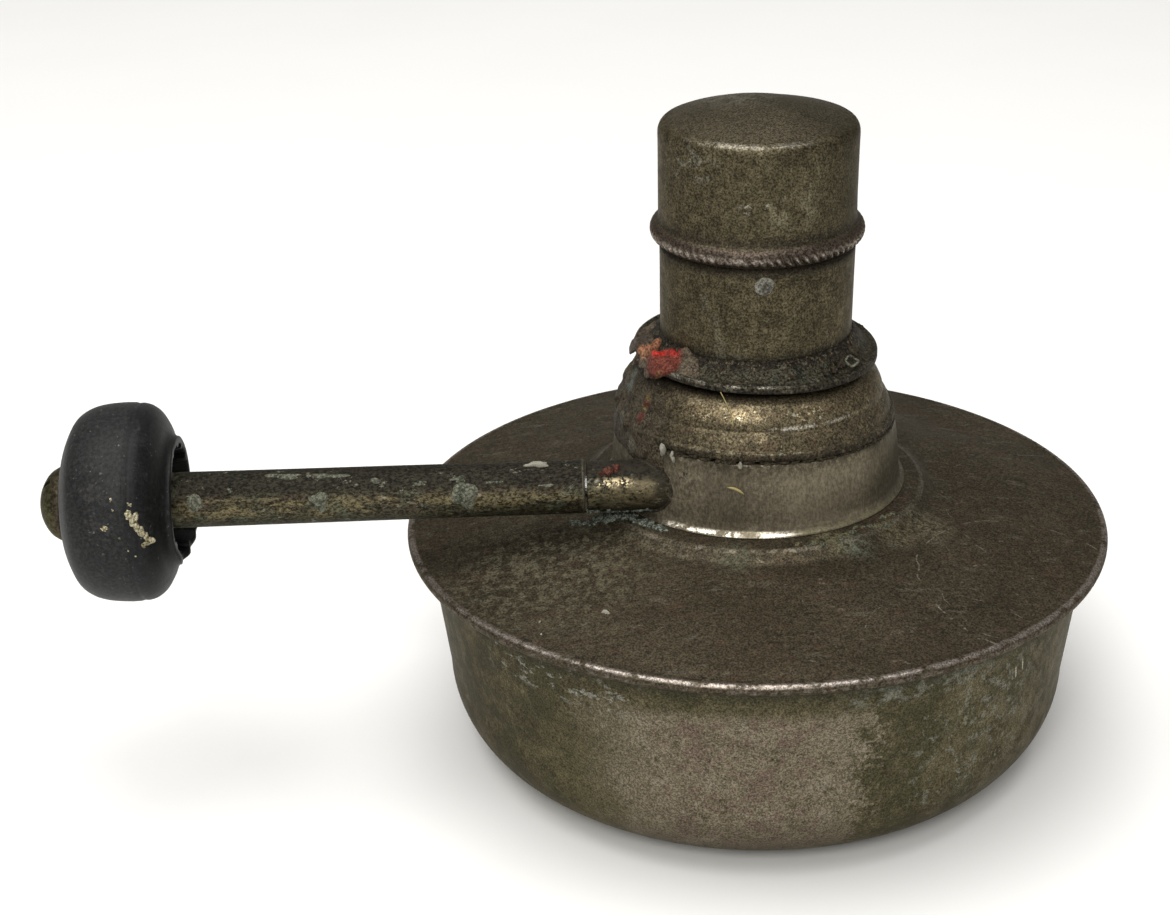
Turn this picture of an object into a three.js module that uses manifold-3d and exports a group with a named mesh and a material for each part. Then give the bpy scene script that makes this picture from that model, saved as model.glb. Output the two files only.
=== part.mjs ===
// A spirit burner: a squat metal fuel pan with a wide overhanging rim, a domed burner neck with a
// drip disc and a round burner tube, a push-on snuffer cap, and a long side handle. The handle tube
// houses a shaft that runs beside the wick. Turning the knob at its far end turns a pinion, which
// drives a rack and lifts the wick carrier. Millimetres, +Z up. The origin is the centre of the
// base, on the burner's axis; the handle points along -X.
import * as THREE from "three";
import { mergeVertices } from "three/addons/utils/BufferGeometryUtils.js";
import Module from "manifold-3d";

const wasm = await Module();
wasm.setup();

// ---- Driving dimensions ----
const GAP = 0.3; // between pieces that touch on the real lamp
const SHEET = 0.65; // sheet metal thickness

const BASE_R = 34; // flat underside of the pan
const PAN_CORNER_R = 14.3;
const PAN_TOP_R = 50.9;
const PAN_TOP_Z = 35.0;
const RIM_R = 53.975; // outside of the rolled rim
const RIM_Z = 36.0;
const RIM_ROLL_R = 0.85;

const BOSS_R = 26.3; // raised boss in the middle of the top plate
const BOSS_Z = 43.0;
const NECK_HOLE_R = 20.6;
const BAND_FOOT_R = 22.6;
const BAND_BOTTOM_Z = 43.7;
const BAND_TOP_R = 21.15;
const BAND_TOP_Z = 54.4;

const COLLAR_R = 21.2;
const COLLAR_TOP_Z = 63.35;
const DISC_R = 18.37;
const DISC_LIP_Z = 64.2;
const DISC_RISE = 3.0;

const TUBE_R = 14.32; // burner tube
const TUBE_FOOT_Z = 56.2;
const TUBE_SHOULDER_Z = 81.6;
const TUBE_NOSE_R = 13.72;
const TUBE_TOP_Z = 95.3;

const CAP_R = 14.47;
const CAP_WALL = 0.5;
const CAP_BEAD_R = 15.72;
const CAP_BOTTOM_Z = 82.5;
const CAP_SHOULDER_Z = 98.2;
const CAP_TOP_Z = 102.2;
const CAP_DOME_R = 34;

const SHAFT_Y = -13.0; // the shaft runs along X, beside the wick
const SHAFT_Z = 48.0;
const SHAFT_R = 1.59;
const SHAFT_CLEARANCE = 0.06;
const HANDLE_R = 3.97;
const HANDLE_BORE_R = 3.1;
const SEAM_X = -26.2; // where the handle tube meets its socket
const HANDLE_END_X = -87.7;
const SOCKET_R = 3.8;
const SOCKET_BORE_R = 2.7;
const SOCKET_INNER_X = -12;

const KNOB_R = 14.55;
const KNOB_FACE_X = -102.6;
const KNOB_HUB_X = -85.8;
const KNOB_HUB_R = 9.4;
const KNOB_HOLLOW_R = 8.3;
const KNOB_WEB_X = -90.5; // bottom of the hollow in the hub
const NUT_R = 5.3;
const NUT_END_X = -106.75;

const GEAR_TEETH = 14;
const GEAR_MODULE = 0.45;
const GEAR_PITCH_R = (GEAR_TEETH * GEAR_MODULE) / 2;
const GEAR_ROOT_DEPTH = 1.25 * GEAR_MODULE;
const RACK_ADDENDUM = 0.75 * GEAR_MODULE;
const PRESSURE_ANGLE = THREE.MathUtils.degToRad(20);
const BACKLASH = 0.14;
const PINION_HALF_WIDTH = 2.6;
const RACK_HALF_WIDTH = 2.2;
const RACK_BACK_Y = -7.6;
const RACK_BOTTOM_Z = 36.8;

const GUIDE_BOTTOM_Z = 42.6; // diaphragm that closes the neck below the winder
const GUIDE_THICKNESS = 0.8;
const FRAME_BOTTOM_Z = GUIDE_BOTTOM_Z + GUIDE_THICKNESS + GAP;
const FRAME_TOP_Z = 52.3;
const FRAME_PLATE_X = 4.2; // inner face of each side plate
const FRAME_SHEET = 1.0;
const FRAME_FOOT = 3.6; // how far each foot reaches out along X
const FRAME_FRONT_Y = -17.6;
const FRAME_RIVET_X = [-7.1, 7.1];
const FRAME_RIVET_Y = -15.8;
const FRAME_RIVET_R = 0.6;

const CARRIER_R = 12.6;
const CARRIER_BOTTOM_Z = 62;
const CARRIER_TOP_Z = 74;
const CARRIER_SHEET = 0.6;
const CARRIER_RIVET_X = [-1.15, 1.15];
const CARRIER_RIVET_Y = -11.1;
const CARRIER_RIVET_R = 0.45;
const RACK_FOOT_Y = -12.2;
const RACK_FOOT_SHEET = 0.8;
const WICK_R = 11.8;
const WICK_TAIL_R = 5.2;
const WICK_TOP_Z = 89.8;
const WICK_TAIL_Z = 8;

const BIG_STEPS = 40; // facets round the pan, neck, tube and cap
const SMALL_STEPS = 20; // facets round the shaft and what fits on it

// ---- Colours ----
const TARNISHED_NICKEL = { color: 0x5f584b, metalness: 0.9, roughness: 0.42 };
const OLD_BRASS = { color: 0x5c5236, metalness: 0.9, roughness: 0.45 };
const CLEAN_BRASS = { color: 0xa8884a, metalness: 0.95, roughness: 0.35 };
const STEEL = { color: 0x777470, metalness: 0.95, roughness: 0.35 };
const HARD_RUBBER = { color: 0x1d2023, metalness: 0.0, roughness: 0.5 };
const RED_FIBRE = { color: 0x5a2a26, metalness: 0.0, roughness: 0.8 };
const COTTON = { color: 0xd8cdb4, metalness: 0.0, roughness: 0.95 };

// ---- Geometry helpers ----
function arc(centreR, centreZ, radius, fromDeg, toDeg, steps) {
  return Array.from({ length: steps + 1 }, (_, i) => {
    const a = THREE.MathUtils.degToRad(fromDeg + ((toDeg - fromDeg) * i) / steps);
    return [centreR + radius * Math.cos(a), centreZ + radius * Math.sin(a)];
  });
}

function signedArea(points) {
  return points.reduce((sum, [r, z], i) => {
    const [r2, z2] = points[(i + 1) % points.length];
    return sum + (r * z2 - r2 * z) / 2;
  }, 0);
}

// Revolves an outline of [radius, height] points about +Z. The outline either starts and ends on
// the axis or is closed here, and is turned to run the way round that makes its faces point out.
function revolve(outline, steps = BIG_STEPS) {
  const points = outline.map(([r, z]) => [Math.max(r, 0), z]);
  if (signedArea(points) < 0) points.reverse();
  const onAxis = points.findIndex(([r], i) => r === 0 && points[(i + 1) % points.length][0] > 0);
  const start = onAxis < 0 ? 0 : onAxis;
  const ordered = [...points.slice(start), ...points.slice(0, start)];
  if (onAxis < 0) ordered.push(ordered[0]);
  const profile = ordered.map(([r, z]) => new THREE.Vector2(r, z));
  return new THREE.LatheGeometry(profile, steps).rotateX(Math.PI / 2);
}

// Turns a solid of revolution about +Z so that its height runs along X, on the shaft's line.
function ontoShaft(geometry) {
  return geometry.rotateY(Math.PI / 2).translate(0, SHAFT_Y, SHAFT_Z);
}

function ringOnShaft(fromX, toX, outerR, boreR, steps = SMALL_STEPS) {
  return ontoShaft(revolve([[boreR, fromX], [outerR, fromX], [outerR, toX], [boreR, toX]], steps));
}

function block(fromX, toX, fromY, toY, fromZ, toZ) {
  const box = new THREE.BoxGeometry(toX - fromX, toY - fromY, toZ - fromZ);
  return box.translate((fromX + toX) / 2, (fromY + toY) / 2, (fromZ + toZ) / 2);
}

function rod(radius, fromZ, toZ, steps = SMALL_STEPS) {
  return revolve([[0, fromZ], [radius, fromZ], [radius, toZ], [0, toZ]], steps);
}

// An outline of [y, z] points, extruded along X from -halfWidth to +halfWidth.
function extrudeAlongX(outline, halfWidth, boreR = 0, bore = [0, 0]) {
  const shape = new THREE.Shape(outline.map(([y, z]) => new THREE.Vector2(y, z)));
  if (boreR > 0) shape.holes.push(new THREE.Path().absarc(bore[0], bore[1], boreR, 0, 2 * Math.PI));
  const settings = { depth: 2 * halfWidth, bevelEnabled: false, curveSegments: SMALL_STEPS / 2 };
  const solid = new THREE.ExtrudeGeometry(shape, settings).translate(0, 0, -halfWidth);
  const toYZ = new THREE.Matrix4().makeBasis(
    new THREE.Vector3(0, 1, 0),
    new THREE.Vector3(0, 0, 1),
    new THREE.Vector3(1, 0, 0),
  );
  return solid.applyMatrix4(toYZ);
}

// ---- Joining and cutting ----
function toSolid(geometry) {
  const bare = geometry.clone();
  bare.deleteAttribute("normal");
  bare.deleteAttribute("uv");
  const merged = mergeVertices(bare, 1e-4);
  return new wasm.Manifold(
    new wasm.Mesh({
      numProp: 3,
      vertProperties: new Float32Array(merged.attributes.position.array),
      triVerts: new Uint32Array(merged.index.array),
    }),
  );
}

function toGeometry(solid) {
  const mesh = solid.getMesh();
  const geometry = new THREE.BufferGeometry();
  geometry.setAttribute("position", new THREE.BufferAttribute(mesh.vertProperties, 3));
  geometry.setIndex(new THREE.BufferAttribute(mesh.triVerts, 1));
  geometry.computeVertexNormals();
  return geometry;
}

function cut(body, ...tools) {
  return toGeometry(tools.reduce((solid, tool) => solid.subtract(toSolid(tool)), toSolid(body)));
}

function join(first, ...others) {
  return toGeometry(others.reduce((solid, other) => solid.add(toSolid(other)), toSolid(first)));
}

const lamp = new THREE.Group();

function addPiece(name, geometry, finish) {
  const mesh = new THREE.Mesh(geometry, new THREE.MeshStandardMaterial(finish));
  mesh.name = name;
  lamp.add(mesh);
}

// ---- Reservoir ----
function reservoirPan() {
  const inner = PAN_CORNER_R - SHEET;
  const flangeR = RIM_R - 2 * RIM_ROLL_R - GAP;
  return revolve([
    [0, 0],
    ...arc(BASE_R, PAN_CORNER_R, PAN_CORNER_R, -90, 0, 6),
    [PAN_TOP_R, PAN_TOP_Z],
    [flangeR, PAN_TOP_Z],
    [flangeR, PAN_TOP_Z + SHEET],
    [PAN_TOP_R - SHEET, PAN_TOP_Z + SHEET],
    ...arc(BASE_R, PAN_CORNER_R, inner, 0, -90, 5),
    [0, SHEET],
  ]);
}

function reservoirTop() {
  const rollR = RIM_R - RIM_ROLL_R;
  const lipTop = BAND_BOTTOM_Z + 0.2;
  const lipR = NECK_HOLE_R + 0.6;
  return revolve([
    ...arc(rollR, RIM_Z, RIM_ROLL_R, 110, -135, 8).reverse(),
    [BOSS_R + 0.8, BOSS_Z - 1.5],
    [BOSS_R, BOSS_Z - 1.0],
    [BOSS_R - 0.5, BOSS_Z - 0.3],
    [BOSS_R - 1.2, BOSS_Z],
    [BAND_FOOT_R + 0.4, BOSS_Z + 0.3],
    [lipR, BOSS_Z + 0.4],
    [lipR, lipTop],
    [NECK_HOLE_R, lipTop],
    [NECK_HOLE_R, BOSS_Z - 0.4],
    [BOSS_R - 1.6, BOSS_Z - SHEET],
    [BOSS_R - 0.2, BOSS_Z - 1.9],
    [rollR - RIM_ROLL_R - 0.3, RIM_Z + 0.05],
    [rollR - RIM_ROLL_R, RIM_Z - 0.25],
  ]);
}

// ---- Neck and burner ----
function neckBand() {
  const band = revolve([
    [BAND_FOOT_R, BAND_BOTTOM_Z],
    [BAND_FOOT_R - 0.05, BAND_BOTTOM_Z + 0.5],
    [BAND_FOOT_R - 0.4, BAND_BOTTOM_Z + 1.2],
    [BAND_FOOT_R - 0.9, BAND_BOTTOM_Z + 5.7],
    [BAND_TOP_R, BAND_TOP_Z],
    [BAND_TOP_R - SHEET, BAND_TOP_Z],
    [BAND_FOOT_R - 0.9 - SHEET, BAND_BOTTOM_Z + 5.7],
    [BAND_FOOT_R - 0.4 - SHEET, BAND_BOTTOM_Z],
  ]);
  const holeForSocket = rod(SOCKET_R + GAP, -40, 0);
  return cut(band, ontoShaft(holeForSocket));
}

function burnerCollar() {
  const spigotR = BAND_TOP_R - SHEET - 0.35;
  const skirtZ = BAND_TOP_Z + 0.35;
  return revolve([
    [spigotR - SHEET, BAND_TOP_Z - 2.2],
    [spigotR, BAND_TOP_Z - 2.2],
    [spigotR, skirtZ],
    [COLLAR_R, skirtZ],
    [COLLAR_R, skirtZ + 1.4],
    [COLLAR_R - 0.6, skirtZ + 2.9],
    [COLLAR_R - 1.3, skirtZ + 4.1],
    [COLLAR_R - 1.55, skirtZ + 6.2],
    [COLLAR_R - 2.1, skirtZ + 7.4],
    [COLLAR_R - 3.4, COLLAR_TOP_Z - 0.2],
    [TUBE_R + GAP, COLLAR_TOP_Z],
    [TUBE_R + GAP, COLLAR_TOP_Z - SHEET],
    [COLLAR_R - 3.7, COLLAR_TOP_Z - SHEET - 0.2],
    [COLLAR_R - 2.2, skirtZ + 6.1],
    [COLLAR_R - 1.95, skirtZ + 4.0],
    [spigotR - SHEET, skirtZ + 2.4],
  ]);
}

function dripDisc() {
  const boreR = TUBE_R + GAP;
  const topZ = DISC_LIP_Z + 0.6 + DISC_RISE;
  return revolve([
    [boreR, topZ - SHEET],
    [DISC_R - 1.4, DISC_LIP_Z + 0.35],
    [DISC_R - 0.5, DISC_LIP_Z],
    [DISC_R, DISC_LIP_Z + 0.35],
    [DISC_R, DISC_LIP_Z + 0.9],
    [DISC_R - 0.5, DISC_LIP_Z + 1.2],
    [boreR, topZ],
  ]);
}

function burnerTube() {
  const flangeZ = COLLAR_TOP_Z - SHEET - 1.2;
  const flangeR = TUBE_R + 2.2;
  return revolve([
    [TUBE_R, TUBE_FOOT_Z],
    [TUBE_R, flangeZ],
    [flangeR, flangeZ],
    [flangeR, flangeZ + SHEET],
    [TUBE_R, flangeZ + SHEET],
    [TUBE_R, TUBE_SHOULDER_Z],
    [TUBE_NOSE_R, TUBE_SHOULDER_Z + 0.7],
    [TUBE_NOSE_R, TUBE_TOP_Z],
    [TUBE_NOSE_R - 0.6, TUBE_TOP_Z],
    [TUBE_NOSE_R - 0.6, TUBE_SHOULDER_Z + 0.6],
    [TUBE_R - 0.6, TUBE_SHOULDER_Z - 0.2],
    [TUBE_R - 0.6, TUBE_FOOT_Z],
  ]);
}

function snufferCap() {
  const domeZ = (r, apex) => apex - (r * r) / (2 * CAP_DOME_R);
  const innerR = CAP_R - CAP_WALL;
  const bead = arc(CAP_BEAD_R - 1.4, CAP_BOTTOM_Z + 1.4, 1.4, -90, 70, 5);
  const dome = [5, 9, 12.4].map((r) => [r, domeZ(r, CAP_TOP_Z)]).reverse();
  const ceiling = [5, 9, 12].map((r) => [r, domeZ(r, CAP_TOP_Z - 0.6)]);
  return revolve([
    [0, CAP_TOP_Z - 0.6],
    ...ceiling,
    [innerR, CAP_SHOULDER_Z - 0.2],
    [innerR, CAP_BOTTOM_Z],
    ...bead,
    [CAP_R, CAP_BOTTOM_Z + 3],
    [CAP_R, CAP_SHOULDER_Z],
    [CAP_R - 0.3, CAP_SHOULDER_Z + 0.9],
    [CAP_R - 1.1, CAP_SHOULDER_Z + 1.4],
    ...dome,
    [0, CAP_TOP_Z],
  ]);
}

// ---- Handle ----
function handleSocket() {
  return ringOnShaft(SEAM_X + GAP / 2, SOCKET_INNER_X, SOCKET_R, SOCKET_BORE_R, 32);
}

function handleTube() {
  return ringOnShaft(HANDLE_END_X, SEAM_X - GAP / 2, HANDLE_R, HANDLE_BORE_R, 32);
}

function shaftBushOuter() {
  return ringOnShaft(
    HANDLE_END_X + 0.2,
    HANDLE_END_X + 6.2,
    HANDLE_BORE_R - GAP,
    SHAFT_R + SHAFT_CLEARANCE,
  );
}

function shaftBushInner() {
  return ringOnShaft(
    SOCKET_INNER_X - 9,
    SOCKET_INNER_X - 0.5,
    SOCKET_BORE_R - GAP,
    SHAFT_R + SHAFT_CLEARANCE,
  );
}

function shaftPacking() {
  return ringOnShaft(SEAM_X + 0.8, SOCKET_INNER_X - 9.4, SOCKET_BORE_R - GAP, SHAFT_R + GAP);
}

function fibreWasher() {
  return ringOnShaft(HANDLE_END_X - GAP - 0.7, HANDLE_END_X - GAP, HANDLE_R + 0.2, SHAFT_R + GAP);
}

// ---- Knob, nut and shaft ----
function knob() {
  const boreR = SHAFT_R + GAP;
  const outline = [
    [boreR, KNOB_FACE_X],
    [NUT_R + 1.1, KNOB_FACE_X],
    [10.4, KNOB_FACE_X + 1.0],
    [12.5, KNOB_FACE_X + 2.2],
    [13.7, KNOB_FACE_X + 3.9],
    [14.3, KNOB_FACE_X + 6.0],
    [KNOB_R, KNOB_FACE_X + 8.6],
    [KNOB_R - 0.05, KNOB_FACE_X + 10.5],
    [KNOB_R - 0.55, KNOB_FACE_X + 11.0],
    [KNOB_R - 0.1, KNOB_FACE_X + 11.5],
    [KNOB_R - 0.5, KNOB_FACE_X + 12.7],
    [13.2, KNOB_FACE_X + 13.8],
    [11.6, KNOB_FACE_X + 14.8],
    [10.3, KNOB_FACE_X + 15.4],
    [KNOB_HUB_R + 0.1, KNOB_FACE_X + 15.9],
    [KNOB_HUB_R, KNOB_HUB_X],
    [KNOB_HOLLOW_R, KNOB_HUB_X],
    [KNOB_HOLLOW_R - 0.9, KNOB_WEB_X],
    [boreR, KNOB_WEB_X],
  ];
  return ontoShaft(revolve(outline, 32));
}

// The domed nut is blind. Two notches in its dome, across from each other, take a forked key.
function knobNut() {
  const baseX = KNOB_FACE_X - GAP;
  const boreR = SHAFT_R + GAP;
  const threadX = NUT_END_X + 1.2;
  const dome = [
    [0, NUT_END_X],
    [1.6, NUT_END_X + 0.2],
    [2.9, NUT_END_X + 0.7],
    [4.3, NUT_END_X + 1.75],
    [5.0, NUT_END_X + 2.75],
    [NUT_R, baseX],
    [boreR, baseX],
    [boreR, threadX],
    [0, threadX],
  ];
  const nut = revolve(dome, 32);
  const notch = () => block(-0.45, 0.45, 3.4, 6, NUT_END_X - 1, NUT_END_X + 2.4);
  const turn = THREE.MathUtils.degToRad(22);
  // Height runs along X once turned, so the notches' +Y is first turned towards the dome's top.
  const notches = [Math.PI / 2 + turn, (3 * Math.PI) / 2 + turn].map((a) => notch().rotateZ(a));
  return ontoShaft(cut(nut, ...notches));
}

function winderShaft() {
  return ontoShaft(rod(SHAFT_R, NUT_END_X + 1.5, FRAME_PLATE_X + FRAME_SHEET + 1.5));
}

function shaftShoulder() {
  const toX = HANDLE_END_X - GAP - 0.7 - GAP;
  return ringOnShaft(KNOB_WEB_X + GAP, toX, 3.4, SHAFT_R + GAP);
}

function thrustCollar() {
  const nearX = -(FRAME_PLATE_X + FRAME_SHEET + GAP);
  return ringOnShaft(nearX - 2.2, nearX, 2.6, SHAFT_R + GAP);
}

function shaftEndCollar() {
  const nearX = FRAME_PLATE_X + FRAME_SHEET + GAP;
  return ringOnShaft(nearX, nearX + 1.4, 2.6, SHAFT_R + GAP);
}

// ---- Pinion and rack ----
// Half the angle that a tooth fills at a radius, for involute flanks.
function halfToothAngle(radius) {
  const involute = (angle) => Math.tan(angle) - angle;
  const baseR = GEAR_PITCH_R * Math.cos(PRESSURE_ANGLE);
  const atPitch = Math.PI / (2 * GEAR_TEETH) - BACKLASH / (2 * GEAR_PITCH_R);
  const flankAngle = Math.acos(Math.min(1, baseR / radius));
  return atPitch + involute(PRESSURE_ANGLE) - involute(flankAngle);
}

function pinion() {
  const rootR = GEAR_PITCH_R - GEAR_ROOT_DEPTH;
  const tipR = GEAR_PITCH_R + GEAR_MODULE;
  const baseR = GEAR_PITCH_R * Math.cos(PRESSURE_ANGLE);
  const radii = [rootR, baseR, (baseR + tipR) / 2, tipR];
  const outline = [];
  for (let tooth = 0; tooth < GEAR_TEETH; tooth++) {
    const middle = (2 * Math.PI * tooth) / GEAR_TEETH;
    const rising = radii.map((r) => [r, middle - halfToothAngle(Math.max(r, baseR))]);
    const falling = radii.map((r) => [r, middle + halfToothAngle(Math.max(r, baseR))]).reverse();
    for (const [r, a] of [...rising, ...falling]) outline.push([r * Math.cos(a), r * Math.sin(a)]);
  }
  const gear = extrudeAlongX(outline, PINION_HALF_WIDTH, SHAFT_R + GAP);
  return gear.translate(0, SHAFT_Y, SHAFT_Z);
}

// The rack's teeth face the pinion. Its top is bent over into a foot that is riveted to the carrier.
function rack() {
  const pitchY = SHAFT_Y + GEAR_PITCH_R;
  const tipY = pitchY - RACK_ADDENDUM;
  const rootY = pitchY + GEAR_ROOT_DEPTH;
  const pitch = Math.PI * GEAR_MODULE;
  const slope = Math.tan(PRESSURE_ANGLE);
  const halfTip = pitch / 4 - RACK_ADDENDUM * slope;
  const halfRoot = pitch / 4 + GEAR_ROOT_DEPTH * slope;
  const footTopZ = CARRIER_BOTTOM_Z - GAP;
  const outline = [[RACK_BACK_Y, footTopZ], [RACK_BACK_Y, RACK_BOTTOM_Z], [rootY, RACK_BOTTOM_Z]];
  for (let tooth = -7; tooth <= 1; tooth++) {
    const z = SHAFT_Z + (tooth + 0.5) * pitch;
    outline.push([rootY, z - halfRoot], [tipY, z - halfTip], [tipY, z + halfTip], [rootY, z + halfRoot]);
  }
  const footZ = footTopZ - RACK_FOOT_SHEET;
  outline.push([rootY, footZ], [RACK_FOOT_Y, footZ], [RACK_FOOT_Y, footTopZ]);
  const bar = extrudeAlongX(outline, RACK_HALF_WIDTH);
  return cut(bar, ...CARRIER_RIVET_X.map((x) => rivetHole(x, CARRIER_RIVET_Y, CARRIER_RIVET_R)));
}

// ---- Rivets, and the frame that holds the pinion against the rack ----
// A hole for a rivet with the given shank, right through the lamp's middle.
function rivetHole(x, y, shankR) {
  return rod(shankR + GAP, 30, 80, 12).translate(x, y, 0);
}

function rivet(x, y, fromZ, toZ, shankR) {
  const head = 0.65;
  const headR = 2 * shankR;
  const profile = [
    [0, fromZ - head],
    [headR * 0.7, fromZ - head],
    [headR, fromZ],
    [shankR, fromZ],
    [shankR, toZ],
    [headR, toZ],
    [headR * 0.7, toZ + head],
    [0, toZ + head],
  ];
  return revolve(profile, 12).translate(x, y, 0);
}

function wickGuidePlate() {
  const top = GUIDE_BOTTOM_Z + GUIDE_THICKNESS;
  const plate = rod(NECK_HOLE_R - 0.4, GUIDE_BOTTOM_Z, top, BIG_STEPS);
  const slotX = RACK_HALF_WIDTH + 0.4;
  return cut(
    plate,
    rod(WICK_TAIL_R + 0.4, 30, 60),
    block(-slotX, slotX, -10.8, 0, 30, 60),
    ...FRAME_RIVET_X.map((x) => rivetHole(x, FRAME_RIVET_Y, FRAME_RIVET_R)),
  );
}

function winderFrame() {
  const outX = FRAME_PLATE_X + FRAME_SHEET;
  const backY = RACK_BACK_Y + GAP;
  const footBackY = 2 * FRAME_RIVET_Y - FRAME_FRONT_Y;
  const footTopZ = FRAME_BOTTOM_Z + FRAME_SHEET;
  const foot = (fromX, toX) =>
    block(fromX, toX, FRAME_FRONT_Y, footBackY, FRAME_BOTTOM_Z, footTopZ);
  const plate = (fromX, toX) =>
    block(fromX, toX, FRAME_FRONT_Y, backY + 0.8, FRAME_BOTTOM_Z, FRAME_TOP_Z);
  const whole = join(
    plate(-outX, -FRAME_PLATE_X),
    plate(FRAME_PLATE_X, outX),
    block(-outX, outX, backY, backY + 0.8, FRAME_BOTTOM_Z, FRAME_TOP_Z),
    foot(-outX - FRAME_FOOT, -FRAME_PLATE_X),
    foot(FRAME_PLATE_X, outX + FRAME_FOOT),
  );
  return cut(
    whole,
    ontoShaft(rod(SHAFT_R + SHAFT_CLEARANCE, -20, 20)),
    ...FRAME_RIVET_X.map((x) => rivetHole(x, FRAME_RIVET_Y, FRAME_RIVET_R)),
  );
}

// ---- Wick and carrier ----
function wickCarrier() {
  const wall = 0.5;
  const cup = revolve([
    [WICK_TAIL_R + GAP, CARRIER_BOTTOM_Z],
    [CARRIER_R, CARRIER_BOTTOM_Z],
    [CARRIER_R, CARRIER_TOP_Z],
    [CARRIER_R - wall, CARRIER_TOP_Z],
    [CARRIER_R - wall, CARRIER_BOTTOM_Z + CARRIER_SHEET],
    [WICK_TAIL_R + GAP, CARRIER_BOTTOM_Z + CARRIER_SHEET],
  ]);
  return cut(cup, ...CARRIER_RIVET_X.map((x) => rivetHole(x, CARRIER_RIVET_Y, CARRIER_RIVET_R)));
}

function wick() {
  const headZ = CARRIER_BOTTOM_Z + 1.9; // clear of the rivet heads in the carrier
  return revolve(
    [
      [0, WICK_TAIL_Z],
      [WICK_TAIL_R - 0.8, WICK_TAIL_Z],
      [WICK_TAIL_R, WICK_TAIL_Z + 1.5],
      [WICK_TAIL_R, headZ],
      [WICK_R, headZ],
      [WICK_R, WICK_TOP_Z - 1.2],
      [WICK_R - 1.4, WICK_TOP_Z],
      [0, WICK_TOP_Z],
    ],
    32,
  );
}

// ---- The lamp ----
addPiece("reservoir_pan", reservoirPan(), TARNISHED_NICKEL);
addPiece("reservoir_top", reservoirTop(), TARNISHED_NICKEL);
addPiece("neck_band", neckBand(), TARNISHED_NICKEL);
addPiece("burner_collar", burnerCollar(), TARNISHED_NICKEL);
addPiece("drip_disc", dripDisc(), TARNISHED_NICKEL);
addPiece("burner_tube", burnerTube(), TARNISHED_NICKEL);
addPiece("snuffer_cap", snufferCap(), TARNISHED_NICKEL);

addPiece("handle_socket", handleSocket(), OLD_BRASS);
addPiece("handle_tube", handleTube(), OLD_BRASS);
addPiece("shaft_bush_outer", shaftBushOuter(), CLEAN_BRASS);
addPiece("shaft_bush_inner", shaftBushInner(), CLEAN_BRASS);
addPiece("shaft_packing", shaftPacking(), COTTON);
addPiece("fibre_washer", fibreWasher(), RED_FIBRE);

addPiece("knob", knob(), HARD_RUBBER);
addPiece("knob_nut", knobNut(), OLD_BRASS);
addPiece("winder_shaft", winderShaft(), STEEL);
addPiece("shaft_shoulder", shaftShoulder(), CLEAN_BRASS);
addPiece("thrust_collar", thrustCollar(), CLEAN_BRASS);
addPiece("shaft_end_collar", shaftEndCollar(), CLEAN_BRASS);
addPiece("pinion", pinion(), CLEAN_BRASS);

addPiece("wick_guide_plate", wickGuidePlate(), CLEAN_BRASS);
addPiece("winder_frame", winderFrame(), CLEAN_BRASS);
FRAME_RIVET_X.forEach((x, i) => {
  const fromZ = GUIDE_BOTTOM_Z - GAP;
  const toZ = FRAME_BOTTOM_Z + FRAME_SHEET + GAP;
  const shape = rivet(x, FRAME_RIVET_Y, fromZ, toZ, FRAME_RIVET_R);
  addPiece(`frame_rivet_${i + 1}`, shape, CLEAN_BRASS);
});

addPiece("wick_carrier", wickCarrier(), CLEAN_BRASS);
addPiece("rack", rack(), CLEAN_BRASS);
CARRIER_RIVET_X.forEach((x, i) => {
  const fromZ = CARRIER_BOTTOM_Z - GAP - RACK_FOOT_SHEET - GAP;
  const toZ = CARRIER_BOTTOM_Z + CARRIER_SHEET + GAP;
  const shape = rivet(x, CARRIER_RIVET_Y, fromZ, toZ, CARRIER_RIVET_R);
  addPiece(`carrier_rivet_${i + 1}`, shape, CLEAN_BRASS);
});
addPiece("wick", wick(), COTTON);

export default lamp;
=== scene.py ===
# The looks of a spirit burner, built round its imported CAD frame: a squat pan with an overhanging
# rim, a domed neck, a burner tube under a snuffer cap, and a side handle with a black knob.
import math

import bpy
import numpy as np
from mathutils import Matrix, Vector


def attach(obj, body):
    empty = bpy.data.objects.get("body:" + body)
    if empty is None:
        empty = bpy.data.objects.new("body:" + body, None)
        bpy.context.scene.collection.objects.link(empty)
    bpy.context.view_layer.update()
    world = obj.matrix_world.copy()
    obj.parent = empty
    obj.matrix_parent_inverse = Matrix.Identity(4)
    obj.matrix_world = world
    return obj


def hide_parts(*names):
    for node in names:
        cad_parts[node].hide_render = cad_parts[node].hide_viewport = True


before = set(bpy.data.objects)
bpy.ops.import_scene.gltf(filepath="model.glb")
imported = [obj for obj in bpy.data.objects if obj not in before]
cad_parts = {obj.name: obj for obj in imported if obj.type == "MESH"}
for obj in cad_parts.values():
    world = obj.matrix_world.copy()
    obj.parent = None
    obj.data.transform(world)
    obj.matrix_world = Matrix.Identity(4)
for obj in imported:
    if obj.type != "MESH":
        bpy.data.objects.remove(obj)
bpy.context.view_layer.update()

MM = 0.001
SHAFT_Y = -13.0  # the handle's axis, which runs along X
SHAFT_Z = 48.0
SOCKET_R = 3.8
HANDLE_R = 3.95
TUBE_R = 14.32
FRONT = -90.0  # degrees about +Z of the side that faces the camera

LAMP = "lamp"
WINDER = "winder"
WICK_UNIT = "wick_unit"
CAP = "cap"
# Tarnish dulls a metal that is seen edge on.
TARNISHED = {"Specular_Tint": (0.55, 0.53, 0.5, 1.0), "Specular_IOR_Level": 0.3}


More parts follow.
